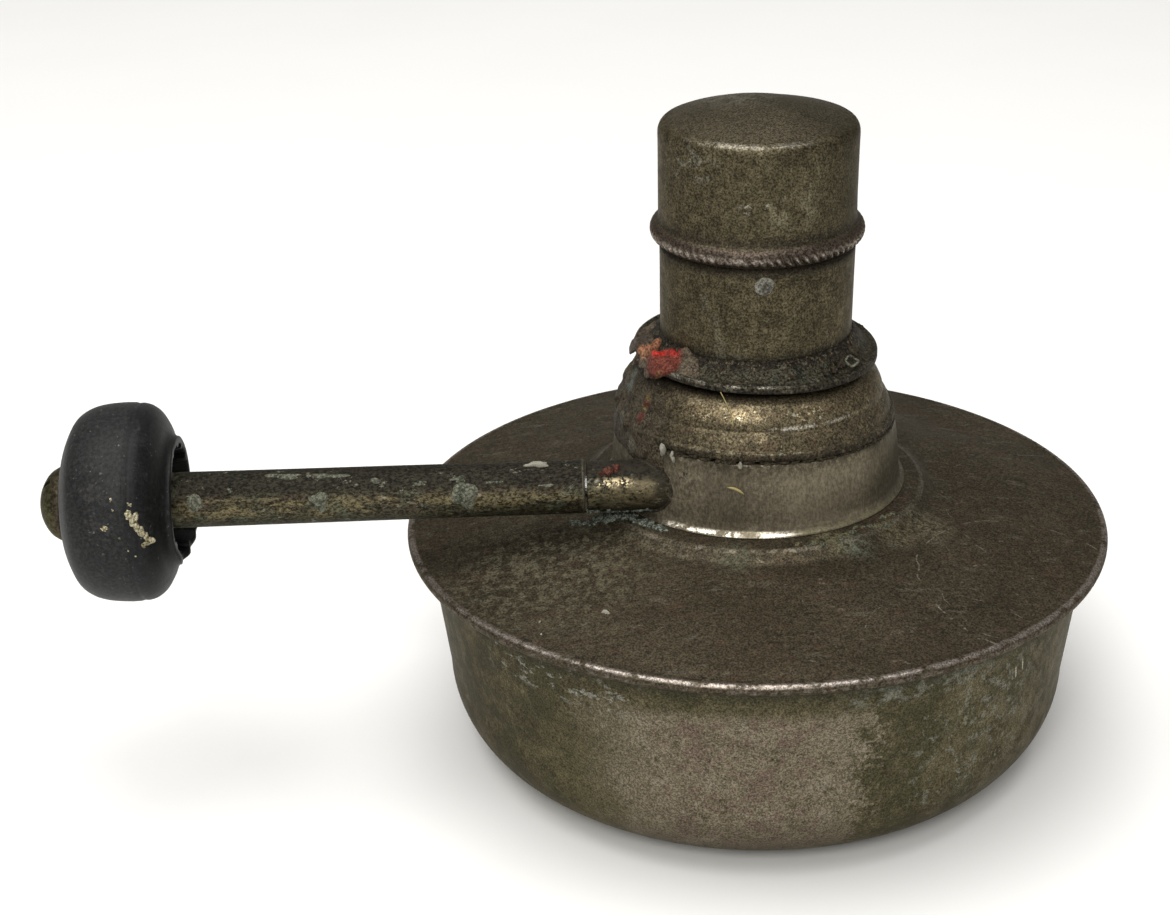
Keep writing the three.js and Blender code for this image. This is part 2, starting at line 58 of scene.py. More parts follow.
# ---- Outlines: lists of (radius, height) in millimetres ----
def rounded(corners, steps=5):
    """An outline whose corners (radius, height, fillet) are rounded."""
    points = []
    count = len(corners)
    for i, (r, z, fillet) in enumerate(corners):
        here = np.array((r, z))
        if fillet == 0:
            points.append(here)
            continue
        before = np.array(corners[i - 1][:2]) - here
        after = np.array(corners[(i + 1) % count][:2]) - here
        long_b, long_a = np.linalg.norm(before), np.linalg.norm(after)
        before, after = before / long_b, after / long_a
        half = math.acos(np.clip(before @ after, -0.99999, 0.99999)) / 2
        reach = min(fillet / math.tan(half), 0.48 * long_b, 0.48 * long_a)
        radius = reach * math.tan(half)
        middle = (before + after) / np.linalg.norm(before + after)
        centre = here + middle * radius / math.sin(half)
        start, end = here + before * reach - centre, here + after * reach - centre
        sweep = math.pi - 2 * half
        for t in np.linspace(0, 1, steps + 1):
            arm = (math.sin((1 - t) * sweep) * start + math.sin(t * sweep) * end) / math.sin(sweep)
            points.append(centre + arm)
    return points


def curve_through(points, steps=5):
    """A smooth curve through (radius, height) points."""
    points = [np.array(p, float) for p in points]
    padded = [2 * points[0] - points[1], *points, 2 * points[-1] - points[-2]]
    made = []
    for a, b, c, d in zip(padded, padded[1:], padded[2:], padded[3:]):
        square, cube = 2 * a - 5 * b + 4 * c - d, 3 * b - a - 3 * c + d
        for k in range(steps):
            t = k / steps
            made.append(0.5 * (2 * b + (c - a) * t + square * t**2 + cube * t**3))
    made.append(points[-1])
    return made


def arc(centre, radius, start, stop, step):
    """Points on a circle, at every step of degrees."""
    turns = np.radians(np.arange(start, stop, step))
    return [(centre[0] + radius * math.cos(a), centre[1] + radius * math.sin(a)) for a in turns]


def refined(outline, longest):
    """The outline with extra points, so that no straight run is longer than given."""
    is_open = outline[0][0] == 0
    ends = outline[1:] if is_open else [*outline[1:], outline[0]]
    made = []
    for a, b in zip(outline, ends):
        a, b = np.array(a), np.array(b)
        parts = max(1, math.ceil(np.linalg.norm(b - a) / longest))
        made += [a + (b - a) * k / parts for k in range(parts)]
    if is_open:
        made.append(np.array(outline[-1]))
    return made


# ---- Uneven surfaces ----
def ripple(u, v, seed, waves=7):
    """Smooth pseudo-random values of about -1 to 1 over two coordinates."""
    rng = np.random.default_rng(seed)
    total = 0
    for _ in range(waves):
        au, av = rng.normal(size=2)
        total = total + np.sin(au * u + av * v + rng.uniform(0, 2 * math.pi))
    return total / math.sqrt(waves)


def ripple_round(angle, scale, seed, shift=0):
    """Ripples that close up round an axis."""
    return ripple(scale * np.cos(angle), scale * np.sin(angle) + shift, seed)


def rising(value, low, high):
    """0 at low and 1 at high, straight between them. low may be the larger."""
    return np.clip((value - low) / (high - low), 0, 1)


def far_side(angle):
    """1 on the side away from the handle, 0 on the handle's half."""
    return np.clip(np.cos(angle), 0, 1)


def dents(angle, height, *rows):
    """Depth of soft dents (degrees, height, half width, half height, depth) at each vertex."""
    total = 0
    for degrees, middle, wide, tall, deep in rows:
        off = (np.degrees(angle) - degrees + 180) % 360 - 180
        total = total + deep * np.exp(-((off / wide) ** 2) - ((height - middle) / tall) ** 2)
    return total


# ---- Meshes ----
def turned(outline, steps, warp=None):
    """Vertices and faces of an outline revolved about +Z. warp changes radius, height, angle."""
    outline = np.array([(float(p[0]), float(p[1])) for p in outline])
    r, z = outline.T
    area = np.sum(r * np.roll(z, -1) - np.roll(r, -1) * z) / 2
    if area < 0:
        outline = outline[::-1]
    is_open = outline[0, 0] == 0
    rings = outline[1:-1] if is_open else outline
    angle = np.linspace(0, 2 * math.pi, steps, endpoint=False)[None, :]
    radius, height = rings[:, :1] + 0 * angle, rings[:, 1:] + 0 * angle
    angle = angle + 0 * radius
    if warp:
        radius, height, angle = warp(radius, height, angle)
    x, y = radius * np.cos(angle), radius * np.sin(angle)
    vertices = np.stack([x, y, height], axis=2).reshape(-1, 3).tolist()
    count = len(rings)
    around = [(j, (j + 1) % steps) for j in range(steps)]
    faces = []
    for i in range(count - 1 if is_open else count):
        low, high = i * steps, ((i + 1) % count) * steps
        faces += [(low + j, low + k, high + k, high + j) for j, k in around]
    if is_open:
        first, last, top = len(vertices), len(vertices) + 1, (count - 1) * steps
        vertices += [[0.0, 0.0, float(height[0].mean())], [0.0, 0.0, float(height[-1].mean())]]
        for j, k in around:
            faces += [(first, k, j), (top + j, top + k, last)]
    return vertices, faces


def onto_shaft(shape, drop=0.0):
    """Turns a shape's +Z into +X and moves it onto the shaft's line, or a drop below it."""
    vertices, faces = shape
    return [(z, x + SHAFT_Y, y + SHAFT_Z - drop) for x, y, z in vertices], faces


def merged(parts):
    vertices, faces = [], []
    for part_vertices, part_faces in parts:
        start = len(vertices)
        vertices += [tuple(v) for v in part_vertices]
        faces += [tuple(start + i for i in face) for face in part_faces]
    return vertices, faces


def add_mesh(name, shape):
    """An object made from vertices in millimetres, linked to the scene."""
    vertices, faces = shape
    mesh = bpy.data.meshes.new(name)
    mesh.from_pydata((np.array(vertices) * MM).tolist(), [], faces)
    made = bpy.data.objects.new(name, mesh)
    bpy.context.scene.collection.objects.link(made)
    return made


def add_piece(name, shape, material, body, stands_for=None):
    piece = add_mesh(name, shape)
    piece.data.polygons.foreach_set("use_smooth", [True] * len(piece.data.polygons))
    piece.data.materials.append(material)
    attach(piece, body)
    if stands_for:
        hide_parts(stands_for)
    return piece


def cut_away(piece, shapes):
    """Cuts each closed shape out of a piece's mesh."""
    for i, shape in enumerate(shapes):
        tool = add_mesh(f"{piece.name}_tool_{i}", shape)
        cut = piece.modifiers.new("cut", "BOOLEAN")
        cut.operation = "DIFFERENCE"
        cut.solver = "EXACT"
        cut.object = tool
        bpy.context.view_layer.update()
        evaluated = piece.evaluated_get(bpy.context.evaluated_depsgraph_get())
        result = bpy.data.meshes.new_from_object(evaluated)
        piece.modifiers.clear()
        old, piece.data = piece.data, result
        result.name = piece.name
        tool_mesh = tool.data
        bpy.data.objects.remove(tool)
        bpy.data.meshes.remove(tool_mesh)
        bpy.data.meshes.remove(old)


def slab(low, high):
    """A box between two corners, used only as a cutter."""
    vertices = [(x, y, z) for x in (low[0], high[0]) for y in (low[1], high[1]) for z in (low[2], high[2])]
    faces = [(0, 1, 3, 2), (4, 6, 7, 5), (0, 4, 5, 1), (2, 3, 7, 6), (0, 2, 6, 4), (1, 5, 7, 3)]
    return vertices, faces


# ---- Lumps and strands that lie on a surface ----
def on_turned(degrees, height, radius_at):
    """Places points on a piece turned about +Z: across, up and out, in millimetres."""

    def place(across, up, out):
        r = radius_at(height + up) + out
        a = math.radians(degrees) + across / r
        return r * math.cos(a), r * math.sin(a), height + up

    return place


def on_plate(degrees, radius, height_at):
    """Places points on a nearly level face: across, outwards and up, in millimetres."""

    def place(across, outwards, up):
        r = radius + outwards
        a = math.radians(degrees) + across / radius
        return r * math.cos(a), r * math.sin(a), height_at(r) + up

    return place


def on_shaft(x, degrees, radius):
    """Places points on the handle: along, around and out. 90 degrees is its top, 180 its near side."""

    def place(along, around, out):
        a = math.radians(degrees) + around / radius
        r = radius + out
        return x + along, SHAFT_Y + r * math.cos(a), SHAFT_Z + r * math.sin(a)

    return place


def mound(place, width, length, height, seed, ragged=0.25, sink=0.12):
    """A closed irregular lump whose foot is sunk a little into the surface."""
    rings, spokes = 8, 30
    rng = np.random.default_rng(seed)
    phases = rng.uniform(0, 2 * math.pi, 5)
    sizes = rng.normal(0, 1, 5) / np.arange(1, 6) ** 0.6
    angles = np.linspace(0, 2 * math.pi, spokes, endpoint=False)
    edge = sum(size * np.cos((k + 2) * angles + p) for k, (size, p) in enumerate(zip(sizes, phases)))
    edge = 1 + ragged * edge / 1.6
    vertices = [place(0, 0, height * (0.8 + 0.2 * ripple(0, 0, seed)))]
    for i in range(1, rings + 1):
        share = i / rings
        for a, e in zip(angles, edge):
            u, v = share * e * math.cos(a), share * e * math.sin(a)
            rough = 0.8 + 0.25 * ripple(3.2 * u, 3.2 * v, seed + 1)
            out = height * rough * (1 - share**3) - sink * share**6
            vertices.append(place(u * width / 2, v * length / 2, out))
    around = [(j, (j + 1) % spokes) for j in range(spokes)]
    faces = [(0, 1 + j, 1 + k) for j, k in around]
    for low in range(1, 1 + (rings - 1) * spokes, spokes):
        high = low + spokes
        faces += [(low + j, high + j, high + k, low + k) for j, k in around]
    vertices.append(place(0, 0, -2 * sink))
    foot = len(vertices) - 1
    last = foot - spokes
    faces += [(last + k, last + j, foot) for j, k in around]
    return vertices, faces


def mounds(first_seed, seed_step, rows):
    """Merged lumps. A row is (place, width, length, height, raggedness)."""
    seeds = range(first_seed, first_seed + seed_step * len(rows), seed_step)
    return merged([mound(*row[:4], seed, row[4]) for seed, row in zip(seeds, rows)])


def crumb(rng, place, widths, lengths, heights, ragged):
    """A lump of random size within ranges."""
    width = rng.uniform(*widths)
    length = rng.uniform(*lengths)
    height = rng.uniform(*heights)
    return mound(place, width, length, height, int(rng.integers(1e6)), ragged)


def strand(points, radii, sides=8):
    """A closed tube through points, with a radius at each."""
    points = [Vector(p) for p in points]
    vertices, faces = [], []
    for i, (p, r) in enumerate(zip(points, radii)):
        ahead = points[min(i + 1, len(points) - 1)] - points[max(i - 1, 0)]
        side = ahead.cross(Vector((0.3, 0.2, 1))).normalized()
        up = side.cross(ahead).normalized()
        for j in range(sides):
            a = 2 * math.pi * j / sides
            vertices.append(tuple(p + r * (math.cos(a) * side + math.sin(a) * up)))
    for low in range(0, (len(points) - 1) * sides, sides):
        for j in range(sides):
            k = (j + 1) % sides
            faces.append((low + j, low + k, low + sides + k, low + sides + j))
    faces.append(tuple(reversed(range(sides))))
    faces.append(tuple(range(len(vertices) - sides, len(vertices))))
    return vertices, faces


# ---- Materials ----
class Look:
    """A material's nodes, built up in layers. Lengths are in millimetres, in the row frame."""

    def __init__(self, name, colour, rough, metal=0.0, bump=0.3):
        self.material = bpy.data.materials.new(name)
        self.material.use_nodes = True
        self.tree = self.material.node_tree
        self.tree.nodes.clear()
        place = self.add("ShaderNodeTexCoord").outputs["Object"]
        self.at = self.vector("MULTIPLY", place, (1000, 1000, 1000))
        self.x, self.y, self.z = self.add("ShaderNodeSeparateXYZ", self.at).outputs
        self.radius = self.hypot(self.x, self.y)
        # Degrees round +Z from the near side, positive towards +X. The seam is at the back.
        angle = self.math("ARCTAN2", self.x, self.math("MULTIPLY", self.y, -1.0))
        self.turn = self.math("MULTIPLY", angle, 180 / math.pi)
        self.colour, self.rough, self.metal, self.bump = colour, rough, metal, bump
        self.relief = None

    def add(self, kind, *values, **settings):
        """A node with its first inputs set or linked."""
        node = self.tree.nodes.new(kind)
        for key, value in settings.items():
            setattr(node, key, value)
        for slot, value in zip(node.inputs, values):
            self.feed(slot, value)
        return node

    def feed(self, slot, value):
        if isinstance(value, bpy.types.NodeSocket):
            self.tree.links.new(value, slot)
        else:
            if slot.type == "RGBA" and len(value) == 3:
                value = (*value, 1.0)
            slot.default_value = value

    def fill(self, node, **values):
        """Sets or links inputs by name, with _ for a space."""
        for name, value in values.items():
            self.feed(node.inputs[name.replace("_", " ")], value)
        return node

    def math(self, operation, *values):
        return self.add("ShaderNodeMath", *values, operation=operation).outputs[0]

    def vector(self, operation, *values):
        return self.add("ShaderNodeVectorMath", *values, operation=operation).outputs[0]

    def hypot(self, a, b):
        return self.math("SQRT", self.math("ADD", self.math("POWER", a, 2), self.math("POWER", b, 2)))

    def noise(self, size, shift=0.0, detail=5, rough=0.72, stretch=(1, 1, 1), warp=0.0):
        """Noise from 0 to 1 with features of about the given size."""
        scale = tuple(s / size for s in stretch)
        at = self.vector("MULTIPLY_ADD", self.at, scale, (shift, 1.7 * shift, 2.3 * shift))
        node = self.add("ShaderNodeTexNoise", noise_dimensions="3D")
        self.fill(node, Vector=at, Scale=1.0, Detail=detail, Roughness=rough, Distortion=warp)
        return node.outputs["Fac"]

    def ragged(self, value, amount, size, shift=0.0, detail=3, rough=0.6):
        """The value with noise of plus or minus an amount added."""
        noise = self.noise(size, shift, detail, rough)
        return self.math("ADD", value, self.math("MULTIPLY_ADD", noise, 2 * amount, -amount))

    def ramp(self, value, low, high):
        """0 below low and 1 above high, eased. low may be the larger."""
        node = self.add("ShaderNodeMapRange", interpolation_type="SMOOTHSTEP", clamp=True)
        down = float(low > high)
        low, high = min(low, high), max(low, high)
        self.fill(node, Value=value, From_Min=low, From_Max=high, To_Min=down, To_Max=1.0 - down)
        return node.outputs["Result"]

    def both(self, *masks):
        total = masks[0]
        for mask in masks[1:]:
            total = self.math("MULTIPLY", total, mask)
        return total

    def either(self, *masks):
        total = masks[0]
        for mask in masks[1:]:
            total = self.math("MAXIMUM", total, mask)
        return total

    def within(self, value, low, high, soft):
        rise = self.ramp(value, low - soft, low + soft)
        return self.both(rise, self.ramp(value, high + soft, high - soft))

    def near(self, point, size, soft, wobble):
        """1 within a distance of a point, with a ragged edge."""
        away = self.vector("SUBTRACT", self.at, tuple(point))
        distance = self.add("ShaderNodeVectorMath", away, operation="LENGTH").outputs["Value"]
        if wobble:
            distance = self.ragged(distance, wobble, 1.1)
        return self.ramp(distance, size + soft, size - soft)

    def along(self, start, end, width, wobble):
        """1 within a width of the line between two points, with a ragged edge."""
        start, end = Vector(start), Vector(end)
        length = (end - start).length
        direction = tuple((end - start) / length)
        away = self.vector("SUBTRACT", self.at, tuple(start))
        dot = self.add("ShaderNodeVectorMath", away, direction, operation="DOT_PRODUCT")
        reach = self.math("MINIMUM", self.math("MAXIMUM", dot.outputs["Value"], 0.0), length)
        foot = self.vector("MULTIPLY", self.grey(reach), direction)
        gap = self.vector("SUBTRACT", away, foot)
        distance = self.add("ShaderNodeVectorMath", gap, operation="LENGTH").outputs["Value"]
        return self.ramp(self.ragged(distance, wobble, 0.9), 1.3 * width, 0.5 * width)

    def grey(self, value):
        return self.add("ShaderNodeCombineXYZ", value, value, value).outputs[0]

    def ring(self, radius, height, width):
        """1 near a circle about +Z."""
        out, up = self.math("SUBTRACT", self.radius, radius), self.math("SUBTRACT", self.z, height)
        return self.ramp(self.hypot(out, up), 1.4 * width, 0.4 * width)

    def mask(self, over=None, noise=None, share=1.0, **spans):
        """Where a coat lies: over a mask, within spans of x, y, z, radius or turn, broken by noise.

        A span is (from, to), eased, or (low, high, softness). noise is (size, from, to, shift), and
        then the noise's detail, roughness and stretch where they aren't the usual ones."""
        masks = [] if over is None else [over]
        for name, span in spans.items():
            shape = self.ramp if len(span) == 2 else self.within
            masks.append(shape(getattr(self, name), *span))
        if noise:
            size, low, high, *rest = noise
            masks.append(self.ramp(self.noise(size, *rest), low, high))
        total = self.both(*masks)
        return total if share == 1 else self.math("MULTIPLY", total, share)

    def coat(self, colour, rough=None, metal=None, rise=None, **where):
        """Lays a coat over part of the surface and changes what is given."""
        mask = self.mask(**where)
        self.colour = self.blend(mask, self.colour, colour)
        if rough is not None:
            self.rough = self.blend(mask, self.rough, rough)
        if metal is not None:
            self.metal = self.blend(mask, self.metal, metal)
        if rise is not None:
            self.raise_by(mask, rise)

    def blend(self, mask, old, new):
        """Old where mask is 0 and new where it is 1, for colours or numbers."""
        kind, first, out = ("RGBA", 6, 2) if isinstance(new, tuple) else ("FLOAT", 2, 0)
        node = self.add("ShaderNodeMix", mask, data_type=kind, clamp_factor=True)
        self.feed(node.inputs[first], old)
        self.feed(node.inputs[first + 1], new)
        return node.outputs[out]

    def raise_by(self, value, millimetres):
        lift = self.math("MULTIPLY", value, millimetres)
        self.relief = lift if self.relief is None else self.math("ADD", self.relief, lift)

    def roughen(self, noise, least):
        """Roughness that runs from least up to least plus 0.3."""
        self.rough = self.math("MULTIPLY_ADD", noise, 0.3, least)

    def speckle(self, size, contrast, shift=0.0, stretch=(1, 1, 1)):
        """Fine grain that darkens and lightens whatever lies under it."""
        gain = self.ramp(self.noise(size, shift, 2, 0.8, stretch), 0.37, 0.63)
        gain = self.math("MULTIPLY_ADD", gain, 2 * contrast, 1 - contrast)
        self.colour = self.vector("MULTIPLY", self.colour, self.grey(gain))

    def done(self, **fixed):
        shader = self.add("ShaderNodeBsdfPrincipled")
        self.fill(shader, Base_Color=self.colour, Roughness=self.rough, Metallic=self.metal, **fixed)
        if self.relief is not None:
            node = self.fill(self.add("ShaderNodeBump"), Strength=self.bump, Distance=MM, Height=self.relief)
            self.feed(shader.inputs["Normal"], node.outputs["Normal"])
        self.add("ShaderNodeOutputMaterial", shader.outputs["BSDF"])
        return self.material

    def tarnished(self, *grain):
        self.speckle(*grain)
        return self.done(**TARNISHED)


# Mean colours of the finishes, as linear light.
PLATE_TONE = (0.058, 0.0475, 0.031)
PAN_TONE = (0.075, 0.064, 0.036)
BARE_TONE = (0.165, 0.14, 0.099)
BAND_TONE = (0.13, 0.112, 0.078)
COLLAR_TONE = (0.105, 0.086, 0.052)
DISC_TONE = (0.037, 0.032, 0.021)
BURNER_TONE = (0.071, 0.059, 0.035)
HANDLE_TONE = (0.048, 0.043, 0.026)
NUT_TONE = (0.049, 0.047, 0.023)
# Marks left by turning or wiping, as the noise's size, detail, roughness and stretch.
STREAKS = {
    "rings": (0.6, 3, 0.6, (0.03, 0.03, 1)),
    "upright": (0.8, 4, 0.65, (1, 1, 0.07)),
    "wiped": (0.9, 4, 0.65, (0.12, 1, 1)),
}


def scaled(tone, factor):
    return tuple(min(1.0, factor * c) for c in tone)


def aged_metal(name, tone, rough, streaks, bump, shift=0.0, mottle=1.0, metal=0.8):
    """Tarnished metal: clouds, patches, coarse grain, pits and marks left by turning or wiping."""
    look = Look(name, tone, rough, metal, bump)
    pale, dark = scaled(tone, 1.75), scaled(tone, 0.42)
    clouds = look.noise(12, shift, 4, 0.6)
    patches = look.noise(3.4, shift + 3, 5, 0.7)
    grain = look.noise(0.75, shift + 5, 4, 0.8)
    size, *kind = STREAKS[streaks]
    marks = look.noise(size, shift + 7, *kind)
    for noise, low, high, share, colour in (
        (clouds, 0.47, 0.66, 0.35 * mottle, pale),
        (clouds, 0.47, 0.32, 0.4 * mottle, dark),
        (patches, 0.52, 0.64, 0.42 * mottle, dark),
        (patches, 0.47, 0.36, 0.32 * mottle, pale),
        (grain, 0.5, 0.62, 0.62, dark),
        (grain, 0.46, 0.34, 0.7, pale),
        (marks, 0.55, 0.7, 0.35, dark),
        (marks, 0.44, 0.3, 0.32, pale),
    ):
        look.coat(colour, over=look.ramp(noise, low, high), share=share)
    pits = look.ramp(look.noise(1.1, shift + 2, 3, 0.6, warp=0.5), 0.66, 0.7)
    pitted = (7, 0.46, 0.56, shift + 9, 3, 0.6)
    look.coat(scaled(tone, 0.2), 0.65, 0.5, -0.06, over=pits, share=0.85, noise=pitted)
    look.roughen(patches, rough - 0.15)
    for noise, height in ((grain, 0.06), (patches, 0.07), (marks, 0.012)):
        look.raise_by(noise, height)
    return look


def arc_scratch(look, x, y, radius, width):
    """Part of a thin circular scratch on a level face."""
    distance = look.hypot(look.math("SUBTRACT", look.x, x), look.math("SUBTRACT", look.y, y))
    distance = look.ragged(distance, 1.0, 5, radius, 2, 0.5)
    line = look.within(distance, radius - width / 2, radius + width / 2, width / 2)
    return look.mask(line, (4, 0.5, 0.6, 71 + radius, 3, 0.7))


def plate_look():
    look = aged_metal("aged_plate", PLATE_TONE, 0.5, "wiped", 0.5, mottle=0.7)
    coat, ring = look.coat, look.ring
    coat((0.05, 0.036, 0.023), share=0.35, noise=(7, 0.5, 0.62, 21, 4, 0.6))
    coat((0.016, 0.011, 0.008), 0.6, 0.4, -0.05, share=0.85, noise=(1.5, 0.66, 0.69, 23, 3, 0.55))
    coat((0.15, 0.13, 0.095), 0.5, share=0.7, noise=(1.3, 0.69, 0.72, 27, 3, 0.6, (0.5, 1, 1)))
    for scratch in ((38, -29, 17, 0.2), (33, -34, 9, 0.2), (52, -8, 24, 0.16), (24, -47, 14, 0.16)):
        coat((0.19, 0.17, 0.13), 0.38, rise=-0.02, over=arc_scratch(look, *scratch))
    coat((0.06, 0.032, 0.02), 0.6, 0.4, share=0.45, noise=(2.0, 0.58, 0.64, 29, 4, 0.7, (0.5, 1, 1)))
    coat((0.11, 0.1, 0.073), 0.5, 0.6, share=0.45, noise=(2.6, 0.59, 0.64, 31, 5, 0.75, (0.35, 1, 1)))
    coat((0.024, 0.02, 0.013), 0.6, 0.5, share=0.6, radius=(31, 25.5), noise=(1.6, 0.44, 0.56, 41))
    handle_side = look.near((-32, -22, 41), 15, 8, 0)
    coat((0.105, 0.098, 0.062), 0.65, 0.3, over=handle_side, share=0.6, noise=(1.4, 0.47, 0.58, 43))
    shadow = look.along((-27, -19.5, 42), (-52, -17.5, 38), 1.7, 0.5)
    coat((0.014, 0.012, 0.008), 0.7, 0.3, over=shadow, share=0.8, noise=(1.2, 0.36, 0.5, 45))
    for place, size, tone in (
        ((24.5, -16.0, 42), 3.6, (0.085, 0.076, 0.045)),
        ((19.5, -19.5, 42.8), 2.8, (0.1, 0.088, 0.05)),
        ((9.0, -22.6, 43.0), 2.8, (0.11, 0.1, 0.055)),
        ((13.0, -24.0, 42.8), 2.2, (0.085, 0.096, 0.07)),
        ((-5.0, -26.0, 42.5), 2.4, (0.07, 0.072, 0.045)),
    ):
        stain = look.near(place, size, 1.8, 1.0)
        coat(tone, 0.65, 0.2, 0.03, over=stain, share=0.75, noise=(0.8, 0.42, 0.56, 51))
    # Worn metal on the rolled rim and, more faintly, on the boss's edge.
    roll, below, edge = ring(53.35, 36.8, 0.5), ring(53.9, 35.9, 0.6), ring(25.6, 42.75, 0.45)
    coat((0.27, 0.235, 0.205), 0.3, 0.95, over=roll, share=0.9, noise=(2.6, 0.38, 0.54, 61))
    coat((0.13, 0.11, 0.09), 0.4, 0.9, over=below, share=0.6, noise=(1.4, 0.45, 0.58, 62))
    coat((0.15, 0.132, 0.1), 0.38, 0.9, over=edge, share=0.55, noise=(2.2, 0.42, 0.58, 63))
    return look.tarnished(0.3, 0.5, 65)


def pan_look():
    look = aged_metal("aged_pan", PAN_TONE, 0.5, "upright", 0.5, 100, 1.4)
    coat, within = look.coat, look.within
    coat((0.044, 0.043, 0.02), 0.55, 0.6, share=0.6, noise=(6, 0.47, 0.6, 121, 5, 0.68, (1, 1, 0.5)))
    # The patch that is worn to bare metal: vague on its left, sharper on its right.
    edge = look.ragged(look.ragged(look.turn, 12, 5, 131, 5, 0.72), 8, 0.9, 133, 3, 0.75)
    height = look.ragged(look.z, 2.4, 5, 131, 5, 0.72)
    sides = look.both(look.ramp(edge, -38, -22), look.ramp(edge, 15.5, 11.5))
    bare = look.both(sides, within(height, 4.5, 29.5, 1.6))
    bare = look.mask(bare, (1.0, 0.66, 0.52, 135, 5, 0.8))
    core = look.mask(bare, turn=(-20, 6, 7))
    coat(BARE_TONE, 0.44, 0.8, over=bare, share=0.9)
    coat((0.1, 0.085, 0.057), over=bare, share=0.45, noise=(4.5, 0.5, 0.6, 145))
    coat((0.215, 0.19, 0.145), over=bare, share=0.5, noise=(4.5, 0.46, 0.36, 145))
    coat((0.118, 0.082, 0.066), over=core, share=0.72, noise=(3.4, 0.48, 0.57, 151, 5, 0.78))
    coat((0.065, 0.052, 0.034), over=bare, share=0.6, noise=(0.55, 0.52, 0.62, 141, 4, 0.85))
    coat((0.26, 0.23, 0.17), over=bare, share=0.5, noise=(0.55, 0.44, 0.34, 141, 4, 0.85))
    coat((0.03, 0.022, 0.016), rise=-0.05, over=core, share=0.8, noise=(0.9, 0.66, 0.7, 143, 2, 0.5))
    look.raise_by(bare, -0.03)
    # A dark olive band just right of the patch, and brown smears low on its left.
    olive, khaki = within(edge, 15, 26, 3), within(edge, -44, -30, 5)
    coat((0.04, 0.038, 0.017), 0.6, 0.5, over=olive, z=(4, 33, 2), share=0.6, noise=(1.6, 0.4, 0.55, 155))
    coat((0.1, 0.09, 0.045), 0.55, 0.6, over=khaki, z=(3, 20, 4), share=0.6, noise=(2.2, 0.42, 0.58, 157))
    coat((0.03, 0.027, 0.013), 0.6, 0.5, turn=(-34, -52), share=0.6, noise=(3.6, 0.44, 0.56, 159))
    coat((0.13, 0.115, 0.075), 0.5, 0.7, turn=(24, 36), share=0.45, noise=(3.0, 0.48, 0.58, 160))
    # Pale corrosion: flakes at the upper left, chalk and a lace of streaks at the right.
    flakes = (2.3, 0.575, 0.6, 161, 5, 0.72, (0.8, 0.8, 1.5))
    lace = (1.3, 0.5, 0.55, 173, 5, 0.72, (0.5, 0.5, 1))
    for colour, rise, turn, z, share, noise in (
        ((0.2, 0.2, 0.165), 0.05, (-54, -24, 3), (27.5, 33.5, 1.2), 0.85, flakes),
        ((0.15, 0.148, 0.115), 0.03, (22, 48, 6), (9, 33, 3), 0.75, (1.7, 0.55, 0.6, 171)),
        ((0.17, 0.17, 0.135), 0.03, (10, 34, 4), (30.5, 34.2, 1), 0.7, lace),
    ):
        coat(colour, 0.7, 0.2, rise, turn=turn, z=z, share=share, noise=noise)
    scratches = look.either(
        look.along((34.5, -36.0, 26.5), (33.6, -36.6, 31.0), 0.2, 0.1),
        look.along((35.6, -35.0, 27.2), (35.0, -35.6, 30.4), 0.18, 0.1),
        look.along((19.4, -45.4, 21.5), (19.0, -45.2, 16.0), 0.2, 0.1),
        look.along((17.2, -46.6, 25.6), (18.6, -46.0, 24.2), 0.16, 0.1),
    )
    coat((0.28, 0.26, 0.2), 0.4, over=scratches)
    # Painted shadow under the overhanging rim.
    coat((0.024, 0.024, 0.013), 0.6, 0.5, z=(30.3, 34.0), share=0.78, noise=(1.5, 0.34, 0.5, 181))
    coat((0.25, 0.225, 0.165), 0.42, z=(5.5, 1.0), share=0.75, noise=(1.6, 0.4, 0.52, 191))
    return look.tarnished(0.28, 0.48, 195)


def band_look():
    look = aged_metal("satin_band", BAND_TONE, 0.38, "rings", 0.35, 200, 0.5)
    coat = look.coat
    # Painted reflections: broad upright light and dark bars, a darker zone left of the front and a lighter
    # zone right of it.
    reflection_bars = look.noise(13, 205, 2, 0.5, (1, 1, 0.05))
    coat(scaled(BAND_TONE, 0.6), over=look.ramp(reflection_bars, 0.5, 0.62), share=0.4)
    coat(scaled(BAND_TONE, 1.3), over=look.ramp(reflection_bars, 0.48, 0.38), share=0.3)
    coat(scaled(BAND_TONE, 0.62), turn=(-26, -9, 5), share=0.45)
    coat(scaled(BAND_TONE, 1.5), 0.34, turn=(2, 48, 9), share=0.4)
    coat((0.03, 0.025, 0.015), 0.65, 0.4, z=(51.6, 54.3), share=0.8, noise=(1.1, 0.42, 0.55, 211))
    coat((0.045, 0.037, 0.024), 0.6, 0.5, turn=(-36, -56), share=0.6, noise=(1.8, 0.36, 0.58, 221))
    # A painted highlight lies along the foot in front, and the foot is dirty elsewhere.
    foot = (44.3, 43.95)
    lit = look.either(look.within(look.turn, -40, -11, 4), look.within(look.turn, -3, 9, 3))
    coat((0.6, 0.55, 0.46), 0.24, 0.95, over=lit, z=foot, share=0.95, noise=(1.8, 0.45, 0.54, 231))
    coat((0.12, 0.11, 0.06), 0.6, 0.3, z=foot, turn=(12, 70, 5), share=0.75, noise=(1.2, 0.42, 0.54, 241))
    # Painted shade low on the band's right side.
    side = (46, 64)
    coat((0.05, 0.043, 0.028), 0.65, 0.4, turn=side, z=(47.5, 45.5), share=0.75, noise=(1.6, 0.34, 0.5, 243))
    return look.tarnished(0.35, 0.24, 245, (1, 1, 0.5))


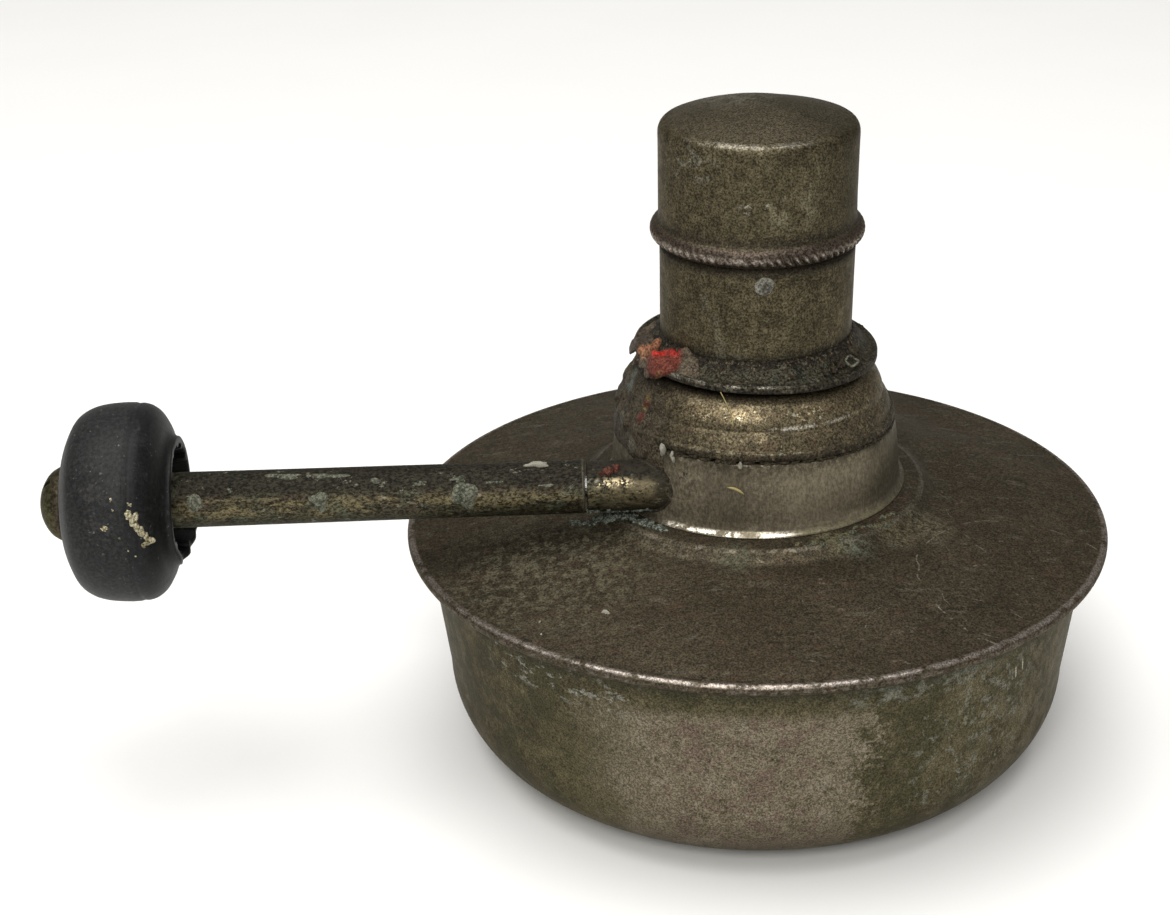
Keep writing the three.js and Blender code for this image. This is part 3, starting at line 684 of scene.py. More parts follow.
def collar_look():
    look = aged_metal("grimy_collar_painted_light", COLLAR_TONE, 0.42, "rings", 0.7, 300)
    coat = look.coat
    # Gold light on the dome, below the disc.
    lit = look.either(look.within(look.turn, -36, -6, 8), look.within(look.turn, 10, 30, 8))
    dome = look.mask(lit, z=(59.9, 61.8, 0.7))
    coat((0.26, 0.205, 0.12), 0.34, 0.95, over=dome, share=0.7, noise=(1.2, 0.38, 0.56, 305))
    coat((0.62, 0.54, 0.36), 0.3, 0.9, 0.04, over=dome, share=0.9, noise=(0.7, 0.56, 0.6, 307))
    coat((0.036, 0.03, 0.019), 0.65, 0.4, 0.05, z=(60.4, 57.5), share=0.72, noise=(2.1, 0.45, 0.56, 311))
    coat((0.07, 0.045, 0.028), 0.6, 0.5, share=0.45, noise=(2.2, 0.52, 0.6, 313, 5, 0.7))
    coat((0.022, 0.018, 0.012), 0.7, 0.3, 0.06, z=(56.4, 54.9), share=0.95, noise=(0.9, 0.38, 0.52, 321))
    coat((0.03, 0.024, 0.016), 0.6, 0.4, 0.05, turn=(-30, -52), share=0.85, noise=(1.6, 0.38, 0.5, 331))
    # A painted highlight along the ridge at the front right.
    ridge_highlight, ledge = look.ring(19.6, 59.1, 0.4), look.ring(21.1, 56.1, 0.3)
    coat((0.4, 0.37, 0.31), 0.3, 0.9, over=ridge_highlight, turn=(3, 52, 4), share=0.85, noise=(2.2, 0.44, 0.5, 341))
    coat((0.2, 0.19, 0.13), 0.5, 0.5, over=ledge, turn=(-50, -40), share=0.75, noise=(1.0, 0.5, 0.56, 343))
    # Painted shadow on the collar's top, under the disc.
    coat((0.02, 0.016, 0.01), 0.7, 0.4, z=(62.5, 63.2), share=0.8)
    coat((0.24, 0.22, 0.16), 0.5, 0.5, 0.04, share=0.7, noise=(0.7, 0.68, 0.71, 351, 3, 0.6))
    return look.tarnished(0.32, 0.62, 355)


def disc_look():
    look = aged_metal("grimy_disc_painted_shade", DISC_TONE, 0.55, "wiped", 0.9, 400, metal=0.65)
    coat = look.coat
    coat((0.04, 0.044, 0.032), 0.65, 0.4, 0.05, share=0.5, noise=(2.4, 0.5, 0.6, 411))
    # Painted shade in the crease where the tube comes through the disc.
    coat((0.01, 0.008, 0.006), 0.75, 0.2, radius=(15.8, 14.9), z=(65.5, 66.0), share=0.85)
    coat((0.15, 0.1, 0.05), 0.6, 0.3, radius=(15.6, 14.9), share=0.8, noise=(0.6, 0.58, 0.62, 415))
    lip = look.ring(18.2, 65.3, 0.4)
    coat((0.2, 0.18, 0.15), 0.36, 0.9, over=lip, share=0.75, noise=(2.4, 0.44, 0.56, 421))
    coat((0.022, 0.018, 0.014), 0.6, 0.5, radius=(17.9, 18.2), z=(65.1, 64.8), share=0.6)
    coat((0.1, 0.09, 0.065), 0.7, 0.1, 0.08, share=0.6, noise=(0.9, 0.66, 0.7, 431, 3, 0.6))
    coat((0.007, 0.006, 0.004), 0.7, 0.3, -0.08, share=0.8, noise=(1.3, 0.55, 0.62, 433, 4, 0.7))
    coat((0.085, 0.078, 0.056), 0.6, 0.4, 0.06, share=0.6, noise=(0.9, 0.54, 0.6, 434, 4, 0.75))
    return look.tarnished(0.34, 0.75, 435)


def burner_look(name, shift, add_marks_and_painted_light):
    look = aged_metal(name, BURNER_TONE, 0.48, "upright", 0.65, shift)
    leather = look.noise(1.5, shift + 11, 6, 0.8)
    look.coat(scaled(BURNER_TONE, 0.45), 0.55, over=look.ramp(leather, 0.5, 0.58), share=0.48)
    look.coat((0.13, 0.114, 0.067), 0.44, over=look.ramp(leather, 0.46, 0.38), share=0.5)
    shade = (9, 0.5, 0.62, shift + 17, 3, 0.5, (1, 1, 0.35))
    look.coat((0.052, 0.047, 0.026), share=0.3, noise=shade)
    look.raise_by(leather, 0.09)
    add_marks_and_painted_light(look.coat, look)
    return look.tarnished(0.3, 0.58, shift + 19)


def tube_marks_and_painted_light(coat, look):
    # Painted shade at the tube's foot, above the disc.
    coat((0.013, 0.011, 0.007), 0.7, 0.3, z=(69.3, 67.7), share=0.85, noise=(0.9, 0.36, 0.5, 521))
    # Painted shadow under the cap's bead.
    coat((0.014, 0.011, 0.008), 0.65, 0.4, z=(79.6, 81.4), share=0.75)
    coat((0.01, 0.009, 0.008), 0.7, 0.3, z=(88.0, 95.0), share=0.7)
    # A painted highlight in upright streaks on the front left.
    streaky = (2.0, 0.52, 0.62, 531, 5, 0.72, (1, 1, 0.3))
    coat((0.15, 0.14, 0.1), 0.5, turn=(-40, -8, 8), z=(68, 78, 3), share=0.4, noise=streaky)


def cap_marks_and_painted_light(coat, look):
    # A painted highlight on the front of the shoulder.
    shoulder = look.mask(look.ring(13.55, 99.35, 0.6), turn=(-52, 30, 10))
    coat((0.22, 0.2, 0.16), 0.36, 0.9, over=shoulder, share=0.6, noise=(1.8, 0.42, 0.56, 621))
    top = (99.5, 100.0)
    coat((0.088, 0.075, 0.053), 0.46, z=top, share=0.5)
    worn = look.near((-2, 5, 101.5), 6.0, 2.5, 1.2)
    coat((0.17, 0.16, 0.125), 0.5, over=worn, z=top, share=0.5, noise=(2.0, 0.46, 0.56, 623))
    left, right = (-60, -30, 6), (0, 30, 7)
    coat((0.17, 0.165, 0.13), 0.55, 0.5, turn=left, z=(94, 98.5, 1), share=0.6, noise=(1.6, 0.52, 0.58, 625))
    scuff = (1.0, 0.53, 0.57, 631, 5, 0.72, (0.7, 0.7, 1.4))
    coat((0.24, 0.225, 0.175), 0.5, 0.6, turn=(-15, 2, 2), z=(89.8, 91.6, 0.5), share=0.85, noise=scuff)
    # A painted highlight in upright streaks on the front right of the wall.
    painted_highlight_streaks = (2.2, 0.48, 0.58, 641, 5, 0.72, (1, 1, 0.45))
    coat((0.17, 0.155, 0.1), 0.45, turn=right, z=(88, 97, 2), share=0.55, noise=painted_highlight_streaks)
    coat(scaled(BURNER_TONE, 0.5), 0.5, turn=(34, 60), z=(85.5, 87.0), share=0.4)
    # The bead, its rubbed ridges, the dirt above it, and the inside.
    coat((0.066, 0.05, 0.042), 0.42, 0.9, radius=(14.65, 15.2), share=0.75)
    ridges = look.mask(radius=(15.25, 15.6), z=(83.9, 83.3))
    coat((0.27, 0.235, 0.2), 0.34, 0.95, over=ridges, share=0.8, noise=(1.4, 0.4, 0.54, 645))
    neck = look.mask(radius=(14.95, 14.6), z=(87.0, 85.2))
    coat((0.022, 0.017, 0.013), 0.6, 0.5, over=neck, share=0.7, noise=(1.0, 0.34, 0.5, 651))
    coat((0.02, 0.017, 0.013), 0.65, 0.4, radius=(14.1, 13.97), z=(98.8, 98.2), share=0.6)


def handle_look(name, shift):
    look = aged_metal(name, HANDLE_TONE, 0.48, "wiped", 0.9, shift, metal=0.7)
    coat = look.coat
    brown = (4.5, 0.48, 0.56, shift + 11, 6, 0.7, (0.4, 1, 1))
    coat((0.033, 0.023, 0.016), 0.5, 0.5, 0.08, share=0.65, noise=brown)
    # A painted highlight: a gold stripe along the near side at middle height.
    gold = (2.6, 0.45, 0.53, shift + 12, 5, 0.72, (0.3, 1, 1))
    coat((0.115, 0.096, 0.053), 0.44, 0.85, z=(46.4, 49.2, 0.8), y=(-14.2, -15.5), share=0.85, noise=gold)
    green = (3.4, 0.54, 0.6, shift + 13, 6, 0.75, (0.5, 1, 1))
    coat((0.05, 0.055, 0.036), 0.6, 0.4, 0.05, share=0.6, noise=green)
    # Painted shade along the top.
    coat((0.015, 0.0135, 0.01), 0.7, 0.5, z=(48.9, 50.6), share=0.85)
    # Painted shade along the underside.
    under = (1.6, 0.36, 0.52, shift + 15, 5, 0.72, (0.4, 1, 1))
    coat((0.026, 0.025, 0.014), 0.6, 0.5, z=(46.6, 45.4), share=0.7, noise=under)
    chips = (1.5, 0.605, 0.635, shift + 17, 5, 0.78, (0.6, 1, 1))
    coat((0.14, 0.135, 0.105), 0.7, 0.1, 0.05, share=0.7, noise=chips)
    look.speckle(0.36, 0.7, shift + 19, (0.6, 1, 1))
    return look


def tube_handle_look():
    look = handle_look("old_brass_tube", 700)
    coat = look.coat
    coat((0.1, 0.092, 0.07), 0.45, 0.7, x=(-26.9, -26.5), share=0.9, noise=(0.8, 0.36, 0.5, 711))
    front = look.mask(x=(-64, -38, 6), y=(-15, -16), z=(47.9, 49.4, 0.5))
    glint = (1.0, 0.585, 0.62, 715, 5, 0.72, (0.5, 1, 1))
    coat((0.24, 0.215, 0.17), 0.4, 0.7, over=front, share=0.7, noise=glint)
    coat((0.13, 0.13, 0.085), 0.6, 0.4, 0.08, x=(-84.5, -87.2), share=0.7, noise=(0.9, 0.46, 0.56, 713))
    return look.done(**TARNISHED)


def socket_look():
    look = handle_look("old_brass_socket", 800)
    coat = look.coat
    gold = look.mask(x=(-23.8, -15.5, 1.5), z=(46.2, 50.2, 0.8))
    coat((0.17, 0.142, 0.085), 0.4, 0.9, over=gold, share=0.75, noise=(1.5, 0.42, 0.56, 811))
    glint = look.mask(x=(-24.6, -19.5, 1.0), z=(49.3, 50.4, 0.5))
    coat((0.55, 0.46, 0.28), 0.3, 0.95, over=glint, share=0.9, noise=(0.7, 0.5, 0.56, 813))
    grime = look.either(look.ramp(look.x, -17.5, -15.2), look.ramp(look.z, 50.6, 51.4))
    coat((0.022, 0.019, 0.013), 0.65, 0.3, 0.05, over=grime, share=0.85, noise=(1.0, 0.4, 0.52, 821))
    return look.done(**TARNISHED)


def knob_look():
    look = Look("hard_rubber", (0.0045, 0.005, 0.0052), 0.5, 0.0, 0.5)
    coat = look.coat
    clouds = look.noise(5, 901, 4, 0.6)
    scuff = look.noise(0.9, 903, 5, 0.8)
    brush = look.noise(0.5, 905, 3, 0.6, (1.6, 0.08, 0.08))
    # Painted light and shade: the left part lighter and a dark line at its groove.
    coat((0.0125, 0.013, 0.0128), x=(-91.5, -91.9), share=0.8)
    coat((0.002, 0.002, 0.002), x=(-91.75, -91.45, 0.12), share=0.6)
    coat((0.012, 0.0125, 0.014), over=look.ramp(clouds, 0.45, 0.65), share=0.4)
    worn = look.both(look.ramp(scuff, 0.54, 0.64), look.ramp(clouds, 0.42, 0.58))
    coat((0.045, 0.044, 0.042), over=worn, share=0.5)
    coat((0.15, 0.145, 0.125), share=0.6, noise=(0.7, 0.68, 0.72, 907, 3, 0.6))
    # A painted highlight on the upper left.
    upper_highlight = look.mask(x=(-101.5, -93.0, 1.5), z=(48, 58, 3))
    coat((0.04, 0.036, 0.031), over=upper_highlight, share=0.35, noise=(1.4, 0.52, 0.6, 911, 5, 0.72, (0.4, 1, 1)))
    # Painted shade towards the hub.
    coat((0.004, 0.0038, 0.0035), x=(-91.0, -87.0), share=0.5)
    look.speckle(0.5, 0.5, 913)
    look.roughen(scuff, 0.36)
    look.raise_by(scuff, 0.04)
    look.raise_by(brush, 0.012)
    return look.done(Specular_IOR_Level=0.17)


def nut_look():
    look = aged_metal("dull_nut_brass", NUT_TONE, 0.5, "wiped", 0.6, 950)
    look.coat((0.05, 0.038, 0.027), 0.5, x=(-104.6, -103.8), share=0.7)
    look.coat((0.02, 0.015, 0.01), 0.7, 0.3, x=(-103.3, -102.95), share=0.8)
    return look.tarnished(0.5, 0.5, 953)


def plain_look(name, colour, rough, metal=0.0, size=1.2, contrast=0.45, bump=0.3, stretch=(1, 1, 1)):
    """A quiet finish: two sizes of noise over one colour."""
    look = Look(name, colour, rough, metal, bump)
    coarse = look.noise(3 * size, 1.0, 3, 0.6, stretch)
    fine = look.noise(0.35 * size, 2.0, 4, 0.7, stretch)
    look.coat(scaled(colour, 0.5), over=look.ramp(coarse, 0.45, 0.65), share=contrast)
    look.coat(scaled(colour, 1.5), over=look.ramp(fine, 0.5, 0.7), share=contrast)
    look.raise_by(fine, 0.08)
    look.raise_by(coarse, 0.1)
    look.roughen(fine, rough - 0.15)
    return look.done()


def crust(name, main, other, share, rough, size, bump=0.8, spots=()):
    """Dull crusty stuff in two colours with dark grain. spots are (place, size, colour)."""
    look = Look(name, main, rough, 0.0, bump)
    patches = look.noise(1.8 * size, 12.0)
    look.coat(other, over=look.ramp(patches, 0.62 - share, 0.68 - share))
    for place, reach, colour in spots:
        look.coat(colour, 0.5, over=look.near(place, reach, 0.5, 0.5), share=0.92)
    fine = look.noise(0.5 * size, 14.0, 4, 0.78)
    look.coat((0.014, 0.011, 0.008), over=look.ramp(fine, 0.5, 0.62), share=0.65)
    look.coat(scaled(main, 1.7), over=look.ramp(fine, 0.44, 0.34), share=0.35)
    look.raise_by(fine, 0.14)
    look.raise_by(patches, 0.2)
    look.speckle(0.34, 0.5, 16)
    return look.done(Specular_IOR_Level=0.1)


# ---- Reservoir ----
def pan_warp(radius, height, angle):
    free = rising(height, 0, 9) * rising(height, 35.2, 33.2)
    inwards = 0.16 + 0.1 * ripple_round(angle, 2, 11, height / 20)
    near_side = dents(angle, height, (-128, 15, 9, 7, 0.3), (-48, 12, 12, 8, 0.25))
    inwards = inwards + near_side + dents(angle, height, (60, 20, 14, 9, 0.35), (160, 14, 10, 8, 0.3))
    return radius - free * inwards, height, angle


def reservoir_pan():
    centre = (34, 14.3)
    corner = arc(centre, 14.3, -88, 3, 3.75)
    outside = [(0, 0.35), (30.5, 0.35), (31.6, 0.0), (33.2, 0.0), *corner, (50.85, 34.5)]
    flange = [(51.6, 34.95), (51.97, 35.05), (51.97, 35.6), (50.3, 35.65)]
    inside = [(50.2, 34.5), *arc(centre, 13.65, 0, -88, -5), (31.0, 1.0), (0, 1.0)]
    return turned(refined([*outside, *flange, *inside], 1.7), 288, pan_warp)


def plate_height(radius):
    """Height of the top plate's cone at a radius."""
    return 36.8 + (52.9 - radius) * (41.5 - 36.8) / (52.9 - 27.1)


def top_warp(radius, height, angle):
    x, y = radius * np.cos(angle), radius * np.sin(angle)
    free = rising(radius, 27.5, 31.5) * rising(radius, 53.2, 50.2)
    waves = 0.1 * ripple(x / 9, y / 9, 21) + 0.035 * ripple(x / 3, y / 3, 22)
    waves = waves - dents(angle, radius, (-148, 44, 10, 5, 0.35), (40, 42, 13, 6, 0.4))
    out = rising(radius, 45, 53)
    inwards = out * (0.1 + 0.07 * ripple_round(angle, 4, 24))
    return radius - inwards, height + free * waves + out * 0.09 * ripple_round(angle, 3, 23), angle


def reservoir_top():
    roll = arc((53.1, 36.0), 0.86, 100, -146, -15)
    shoulder = [
        (52.9, 36.84, 0), (27.3, 41.45, 2.4), (26.25, 42.2, 0.7), (25.3, 42.9, 1.4), (23.0, 43.32, 0.4),
        (21.25, 43.42, 0.1), (21.2, 43.9, 0.12), (20.6, 43.9, 0.12), (20.6, 42.65, 0.3), (24.6, 42.3, 0.5),
        (26.1, 41.1, 0.8), (51.9, 36.1, 0),
    ]
    outline = [*roll[::-1], *rounded(shoulder, 6)[1:], (52.3, 35.85)]
    return turned(refined(outline, 1.1), 288, top_warp)


# ---- Neck and burner ----
def neck_drop(radius, height, angle):
    """How far the neck is bent down on the side away from the handle."""
    return 0.9 * far_side(angle) * rising(height, 47, 54) * rising(radius, 14, 17)


def neck_warp(radius, height, angle):
    inwards = 0.05 + 0.03 * ripple_round(angle, 2, 31, height / 6)
    inwards = inwards + 0.35 * far_side(angle) * rising(height, 54.6, 56.6)
    return radius - inwards, height - neck_drop(radius, height, angle), angle


def neck_band():
    outside = [
        (22.95, 43.42), (22.85, 43.62), (22.5, 43.9), (22.2, 44.35), (22.02, 45.4), (21.72, 49.4),
        (21.36, 53.0),
    ]
    edge = [(21.2, 54.15), (21.05, 54.4), (20.55, 54.4), (21.05, 49.4), (21.5, 43.5)]
    return turned(refined([*curve_through(outside, 6), *edge], 1.0), 224, neck_warp)


def burner_collar():
    outside = [
        (20.95, 54.78), (21.2, 55.0), (21.25, 55.8), (21.12, 56.12), (20.8, 56.25), (20.72, 56.6),
        (20.4, 57.5), (19.9, 58.3), (19.6, 58.65), (19.52, 58.85), (19.54, 59.1), (19.46, 59.7),
        (19.05, 60.7), (18.4, 61.7), (17.6, 62.5), (16.7, 63.05), (14.4, 63.3),
    ]
    inside = [
        (14.4, 62.75), (16.5, 62.5), (17.9, 61.2), (18.8, 58.9), (19.6, 57.0), (19.55, 52.3), (20.1, 52.3),
        (20.1, 54.75),
    ]
    return turned(refined([*curve_through(outside), *inside], 0.9), 224, neck_warp)


def disc_warp(radius, height, angle):
    out = rising(radius, 15, 18)
    wave = 0.14 * ripple_round(angle, 2.2, 41) - far_side(angle)
    inwards = 0.05 + 0.06 * (1 + ripple_round(angle, 3, 42)) * out
    return radius - np.clip(inwards, 0, 1), height + out * wave, angle


def drip_disc():
    corners = [
        (14.36, 67.2, 0), (15.6, 65.9, 0.6), (16.9, 64.6, 0.5), (17.9, 64.15, 0.25), (18.37, 64.4, 0.25),
        (18.37, 65.35, 0.22), (17.9, 65.5, 0.2), (17.45, 65.2, 0.5), (16.4, 65.7, 0.9), (14.36, 67.8, 0),
    ]
    return turned(refined(rounded(corners, 4), 0.6), 200, disc_warp)


LEAN = 0.24  # how far the burner bulges, on the side away from the handle, at the top of the tube


def tube_warp(radius, height, angle):
    inwards = 0.03 + 0.025 * ripple_round(angle, 2, 51, height / 9)
    inwards = inwards + dents(angle, height, (-60, 72, 16, 4, 0.09), (110, 75, 16, 5, 0.12))
    lean = LEAN * rising(height, 68, 81) * far_side(angle) * (height < 82)
    return radius - rising(height, 81, 78) * inwards + lean, height, angle


def burner_tube():
    out, neck, wall = TUBE_R, 13.72, 13.12
    corners = [
        (out, 56.2, 0.15), (out, 61.5, 0), (16.5, 61.5, 0.15), (16.5, 62.1, 0.15), (out, 62.1, 0),
        (out, 80.9, 0.5), (neck, 81.6, 0.4), (neck, 95.3, 0.2), (wall, 95.3, 0.2), (wall, 81.5, 0.4),
        (neck, 80.7, 0.4), (neck, 56.2, 0.15),
    ]
    return turned(refined(rounded(corners, 4), 1.6), 192, tube_warp)


BEAD_GROOVES = 76
BEAD_MIDDLE_Z = 83.4
BEAD_ROLL_R = 1.5
BEAD_CENTRE_R = 14.22
CAP_R = 14.47
CAP_BORE_R = 13.97


def cap_warp(radius, height, angle):
    """Mills slanting grooves into the bead, worn away in front, and dents the cap a little."""
    front = (np.degrees(angle) - FRONT + 12 + 180) % 360 - 180
    worn = np.exp(-((front / 17) ** 2))
    worn = np.maximum(worn, np.clip(0.5 * ripple_round(angle, 2, 62), 0, 0.6))
    phase = BEAD_GROOVES * angle + 2.4 * (height - BEAD_MIDDLE_Z)
    groove = np.clip(0.55 + np.cos(phase + 1.1 * ripple_round(angle, 3, 63)), 0, 1.3)
    low_half = np.exp(-((height - BEAD_MIDDLE_Z + 0.35) ** 4)) * rising(radius, 14.7, 15.2)
    uneven = 0.75 + 0.25 * ripple_round(angle, 9, 64)
    milled = 0.45 * groove * low_half * (1 - 0.85 * worn) * uneven
    lean = LEAN * (0.6 + 0.8 * rising(height, 84, 98)) * far_side(angle) * rising(radius, 12, 14)
    wall = rising(height, 86, 88) * rising(height, 98, 96) * (radius > 13.5)
    soft = 0.03 + 0.03 * ripple_round(angle, 2, 61, height / 7)
    soft = soft + dents(angle, height, (-130, 93, 18, 4, 0.1), (70, 91, 18, 4, 0.14))
    x, y = radius * np.cos(angle), radius * np.sin(angle)
    sink = 0.07 * (1 + ripple(x / 5, y / 5, 65)) * (height > 99.5)
    return radius + lean - milled - wall * np.clip(soft, 0, 1), height - sink, angle


def snuffer_cap():
    def dome(apex, *radii):
        return [(r, apex - r * r / 68) for r in radii]

    bead = arc((BEAD_CENTRE_R, BEAD_MIDDLE_Z), BEAD_ROLL_R, -90, 66, 8)
    corner = [(CAP_R, 96.6), (14.46, 97.8), (14.36, 98.5), (14.05, 99.12), (13.45, 99.6), (12.4, 99.95)]
    top = [*curve_through([*corner, *dome(102.15, 10.8)], 3), *dome(102.15, 9, 7, 5, 3, 1.2, 0)]
    ceiling = [*dome(101.55, 0, 5, 9), *dome(101.5, 12), (13.6, 98.8)]
    inside = [(CAP_BORE_R, z) for z in (98.0, 94.0, 90.0, 86.0, 82.0)]
    wall = [(14.6, 84.95), *((CAP_R, z) for z in (85.25, 86.4, 88.5, 91.0, 93.5))]
    return turned([*ceiling, *inside, *bead, *wall, *top], BEAD_GROOVES * 10, cap_warp)


# ---- Handle ----
def handle_warp(radius, height, angle):
    inwards = 0.03 + 0.02 * ripple_round(angle, 2, 71, height / 8)
    inwards = inwards + dents(angle, height, (150, -58, 50, 3.5, 0.06), (60, -40, 60, 4, 0.08))
    # The tube is a little stouter below at its outer end.
    stout = 0.42 * rising(height, -30, -87) * np.clip(0.4 - np.sin(angle), 0, 1.2) / 1.2
    return radius + (stout - inwards) * (radius > 3.4), height, angle


def handle_tube():
    corners = [
        (3.1, -87.7, 0.15), (3.97, -87.7, 0.2), (3.97, -27.1, 0.3), (4.08, -26.6, 0.2), (3.9, -26.36, 0.12),
        (3.1, -26.36, 0.15),
    ]
    return onto_shaft(turned(refined(rounded(corners, 4), 1.4), 96, handle_warp))


def handle_socket():
    corners = [(2.7, -26.04, 0.1), (SOCKET_R, -26.04, 0.2), (SOCKET_R, -12.0, 0.2), (2.7, -12.0, 0.1)]
    return onto_shaft(turned(refined(rounded(corners, 3), 1.2), 96, handle_warp))


def fibre_washer():
    corners = [(1.9, -88.7, 0.05), (4.15, -88.7, 0.15), (4.15, -88.02, 0.15), (1.9, -88.02, 0.05)]
    return onto_shaft(turned(refined(rounded(corners, 3), 0.5), 72))


NECK_SKIN = (
    (43.9, 22.45), (44.35, 22.15), (45.4, 21.97), (49.4, 21.67), (53.0, 21.3), (54.4, 21.1),
    (54.8, 21.1), (56.1, 21.05), (56.6, 20.7), (57.5, 20.35), (58.3, 19.85), (59.0, 19.5),
    (59.7, 19.4), (60.7, 19.0), (61.7, 18.35), (62.5, 17.55),
)


def profile(value, pairs):
    """The second number of each pair, at a value of the first, straight between pairs."""
    return float(np.interp(value, *zip(*pairs)))


def band_radius(z):
    """Outer radius of the neck band and collar at a height."""
    return profile(z, NECK_SKIN)


def saddle_fillet():
    """The solder and grime that fill the corner between the socket and the neck band."""
    spokes, across = 120, 9

    def on_band(out, a):
        y, z = SHAFT_Y + out * math.cos(a), SHAFT_Z + out * math.sin(a)
        return -math.sqrt(max(band_radius(z) ** 2 - y**2, 1.0)), y, z

    vertices = []
    for j in range(spokes):
        a = 2 * math.pi * j / spokes
        width = 0.26 + 0.06 * float(ripple_round(a, 3, 81))
        width += 0.8 * max(0.0, math.sin(a)) ** 3 + 0.2 * max(0.0, -math.sin(a)) ** 4
        for t in np.linspace(0, 1, across):
            # A hollow quarter curve from the socket's skin out to the band's skin.
            curve = t * math.pi / 2
            x, y, z = on_band(SOCKET_R - 0.1 + width * (1 - math.cos(curve)) + 0.1 * t, a)
            lift = width * (1 - math.sin(curve)) - 0.12 * t
            bumpy = 0.06 * float(ripple(5 * math.cos(a) + 3 * t, 5 * math.sin(a), 82))
            vertices.append((x - lift - bumpy, y, z))
        # The back of the fillet, inside the band and socket.
        x, y, z = on_band(SOCKET_R - 0.25, a)
        vertices.append((x + 0.5, y, z))
    per = across + 1
    faces = []
    for j in range(spokes):
        here, there = j * per, (j + 1) % spokes * per
        for i in range(per):
            n = (i + 1) % per
            faces.append((here + n, there + n, there + i, here + i))
    return vertices, faces


# ---- Knob and nut ----
DROOP = 0.25  # the knob and nut sit a little low on their shaft


def knob_warp(radius, height, angle):
    """A lumpy, slightly worn moulding, with ribs in its hollow and a broken rim on its hub."""
    turn = (np.degrees(angle) + 90 + 180) % 360 - 180
    outside = (radius > 9.0) & (height < -87.0)
    lumps = 0.05 + 0.045 * ripple_round(angle, 2.5, 91, height / 4)
    rim = rising(height, -87.0, -85.8) * (radius > 6.5)
    below = 0.15 + 0.85 * np.clip(0.3 - np.sin(angle), 0, 1)
    broken = 0.45 * below * ripple_round(angle, 7, 92) - 0.25
    broken = broken + 0.55 * np.exp(-(((turn - 38) / 30) ** 2))
    hollow = (radius < 8.6) & (radius > 6.8) & (height > -90.3)
    ribs = 0.55 * np.clip(np.cos(14 * angle) * 3 - 1.2, 0, 1) * hollow
    return radius - outside * lumps - ribs, height + rim * broken, angle


def knob():
    face = [(1.9, -102.6), (4.0, -102.6), (6.4, -102.55), (8.6, -102.25)]
    body = [(10.4, -101.6), (12.5, -100.4), (13.7, -98.7), (14.3, -96.6), (14.52, -94.0), (14.5, -92.4)]
    groove = [(14.43, -92.0), (14.34, -91.6), (14.38, -91.2), (14.34, -90.8)]
    shoulder = [(14.05, -89.9), (13.2, -88.8), (11.7, -87.85), (10.4, -87.3), (9.65, -86.8)]
    hub = [(9.4, -86.3), (9.35, -85.95), (9.1, -85.8), (8.6, -85.8), (8.35, -86.0)]
    hollow = [(8.2, -87.0), (7.9, -88.5), (7.5, -90.1), (7.2, -90.45), (4.5, -90.5), (1.9, -90.5)]
    outline = curve_through([*face, *body, *groove, *shoulder, *hub, *hollow], 4)
    outline = [(r if r < 6 else 1.018 * r, x) for r, x in outline]
    return onto_shaft(turned(refined(outline, 0.9), 252, knob_warp), DROOP)


def knob_nut():
    dome = [(0, -106.72), (1.7, -106.52), (3.1, -106.02), (4.5, -105.1), (5.25, -104.1)]
    edge = [(5.55, -103.4), (5.6, -102.95)]
    outline = [*curve_through([*dome, *edge]), (5.55, -102.9), (1.9, -102.9), (1.9, -105.5), (0, -105.5)]
    return onto_shaft(turned(refined(outline, 0.6), 120), DROOP)


def nut_notches():
    vertices, faces = slab((3.4, -0.42, -107.5), (6.0, 0.42, -104.55))
    cutters = []
    for degrees in (112, 292):
        # At zero turn the notch lies along +Z of the row; positive turns it towards -Y.
        spin = Matrix.Rotation(math.radians(degrees), 3, "Z")
        cutters.append(onto_shaft(([tuple(spin @ Vector(v)) for v in vertices], faces), DROOP))
    return cutters


# ---- Wick ----
def wick_shape():
    """Twisted yarns, standing up in the carrier and gathered into a tail below it."""
    places = [(0.0, 0.0)]
    for ring in (1, 2, 3, 4):
        count = 6 * ring
        for k in range(count):
            a = 2 * math.pi * (k + 0.3 * ring) / count
            places.append((2.62 * ring * math.cos(a), 2.62 * ring * math.sin(a)))
    rng = np.random.default_rng(101)
    radii = [1.25, 1.3, 1.32, 1.3, 1.32, 1.3, 1.25, 1.0, 0.6, 0.15]
    parts = []
    for x, y in places:
        top = 89.2 + rng.uniform(-0.9, 0.5)
        heights = [64.2, 68, 72, 76, 80, 84, top - 1.6, top - 0.5, top - 0.1, top]
        sway = rng.normal(0, 0.12, (len(heights), 2))
        parts.append(strand([(x + dx, y + dy, z) for (dx, dy), z in zip(sway, heights)], radii, 10))
    corners = [(0, 8.2, 0), (4.6, 8.2, 1.4), (5.0, 20, 0), (5.1, 60, 0), (4.9, 63.9, 0.4), (0, 63.9, 0)]

    def twist(radius, height, angle):
        wave = 0.15 * np.cos(9 * (angle + height / 14)) * (radius > 4)
        return radius - 0.15 + wave, height, angle

    return merged([*parts, turned(refined(rounded(corners), 0.8), 108, twist)])


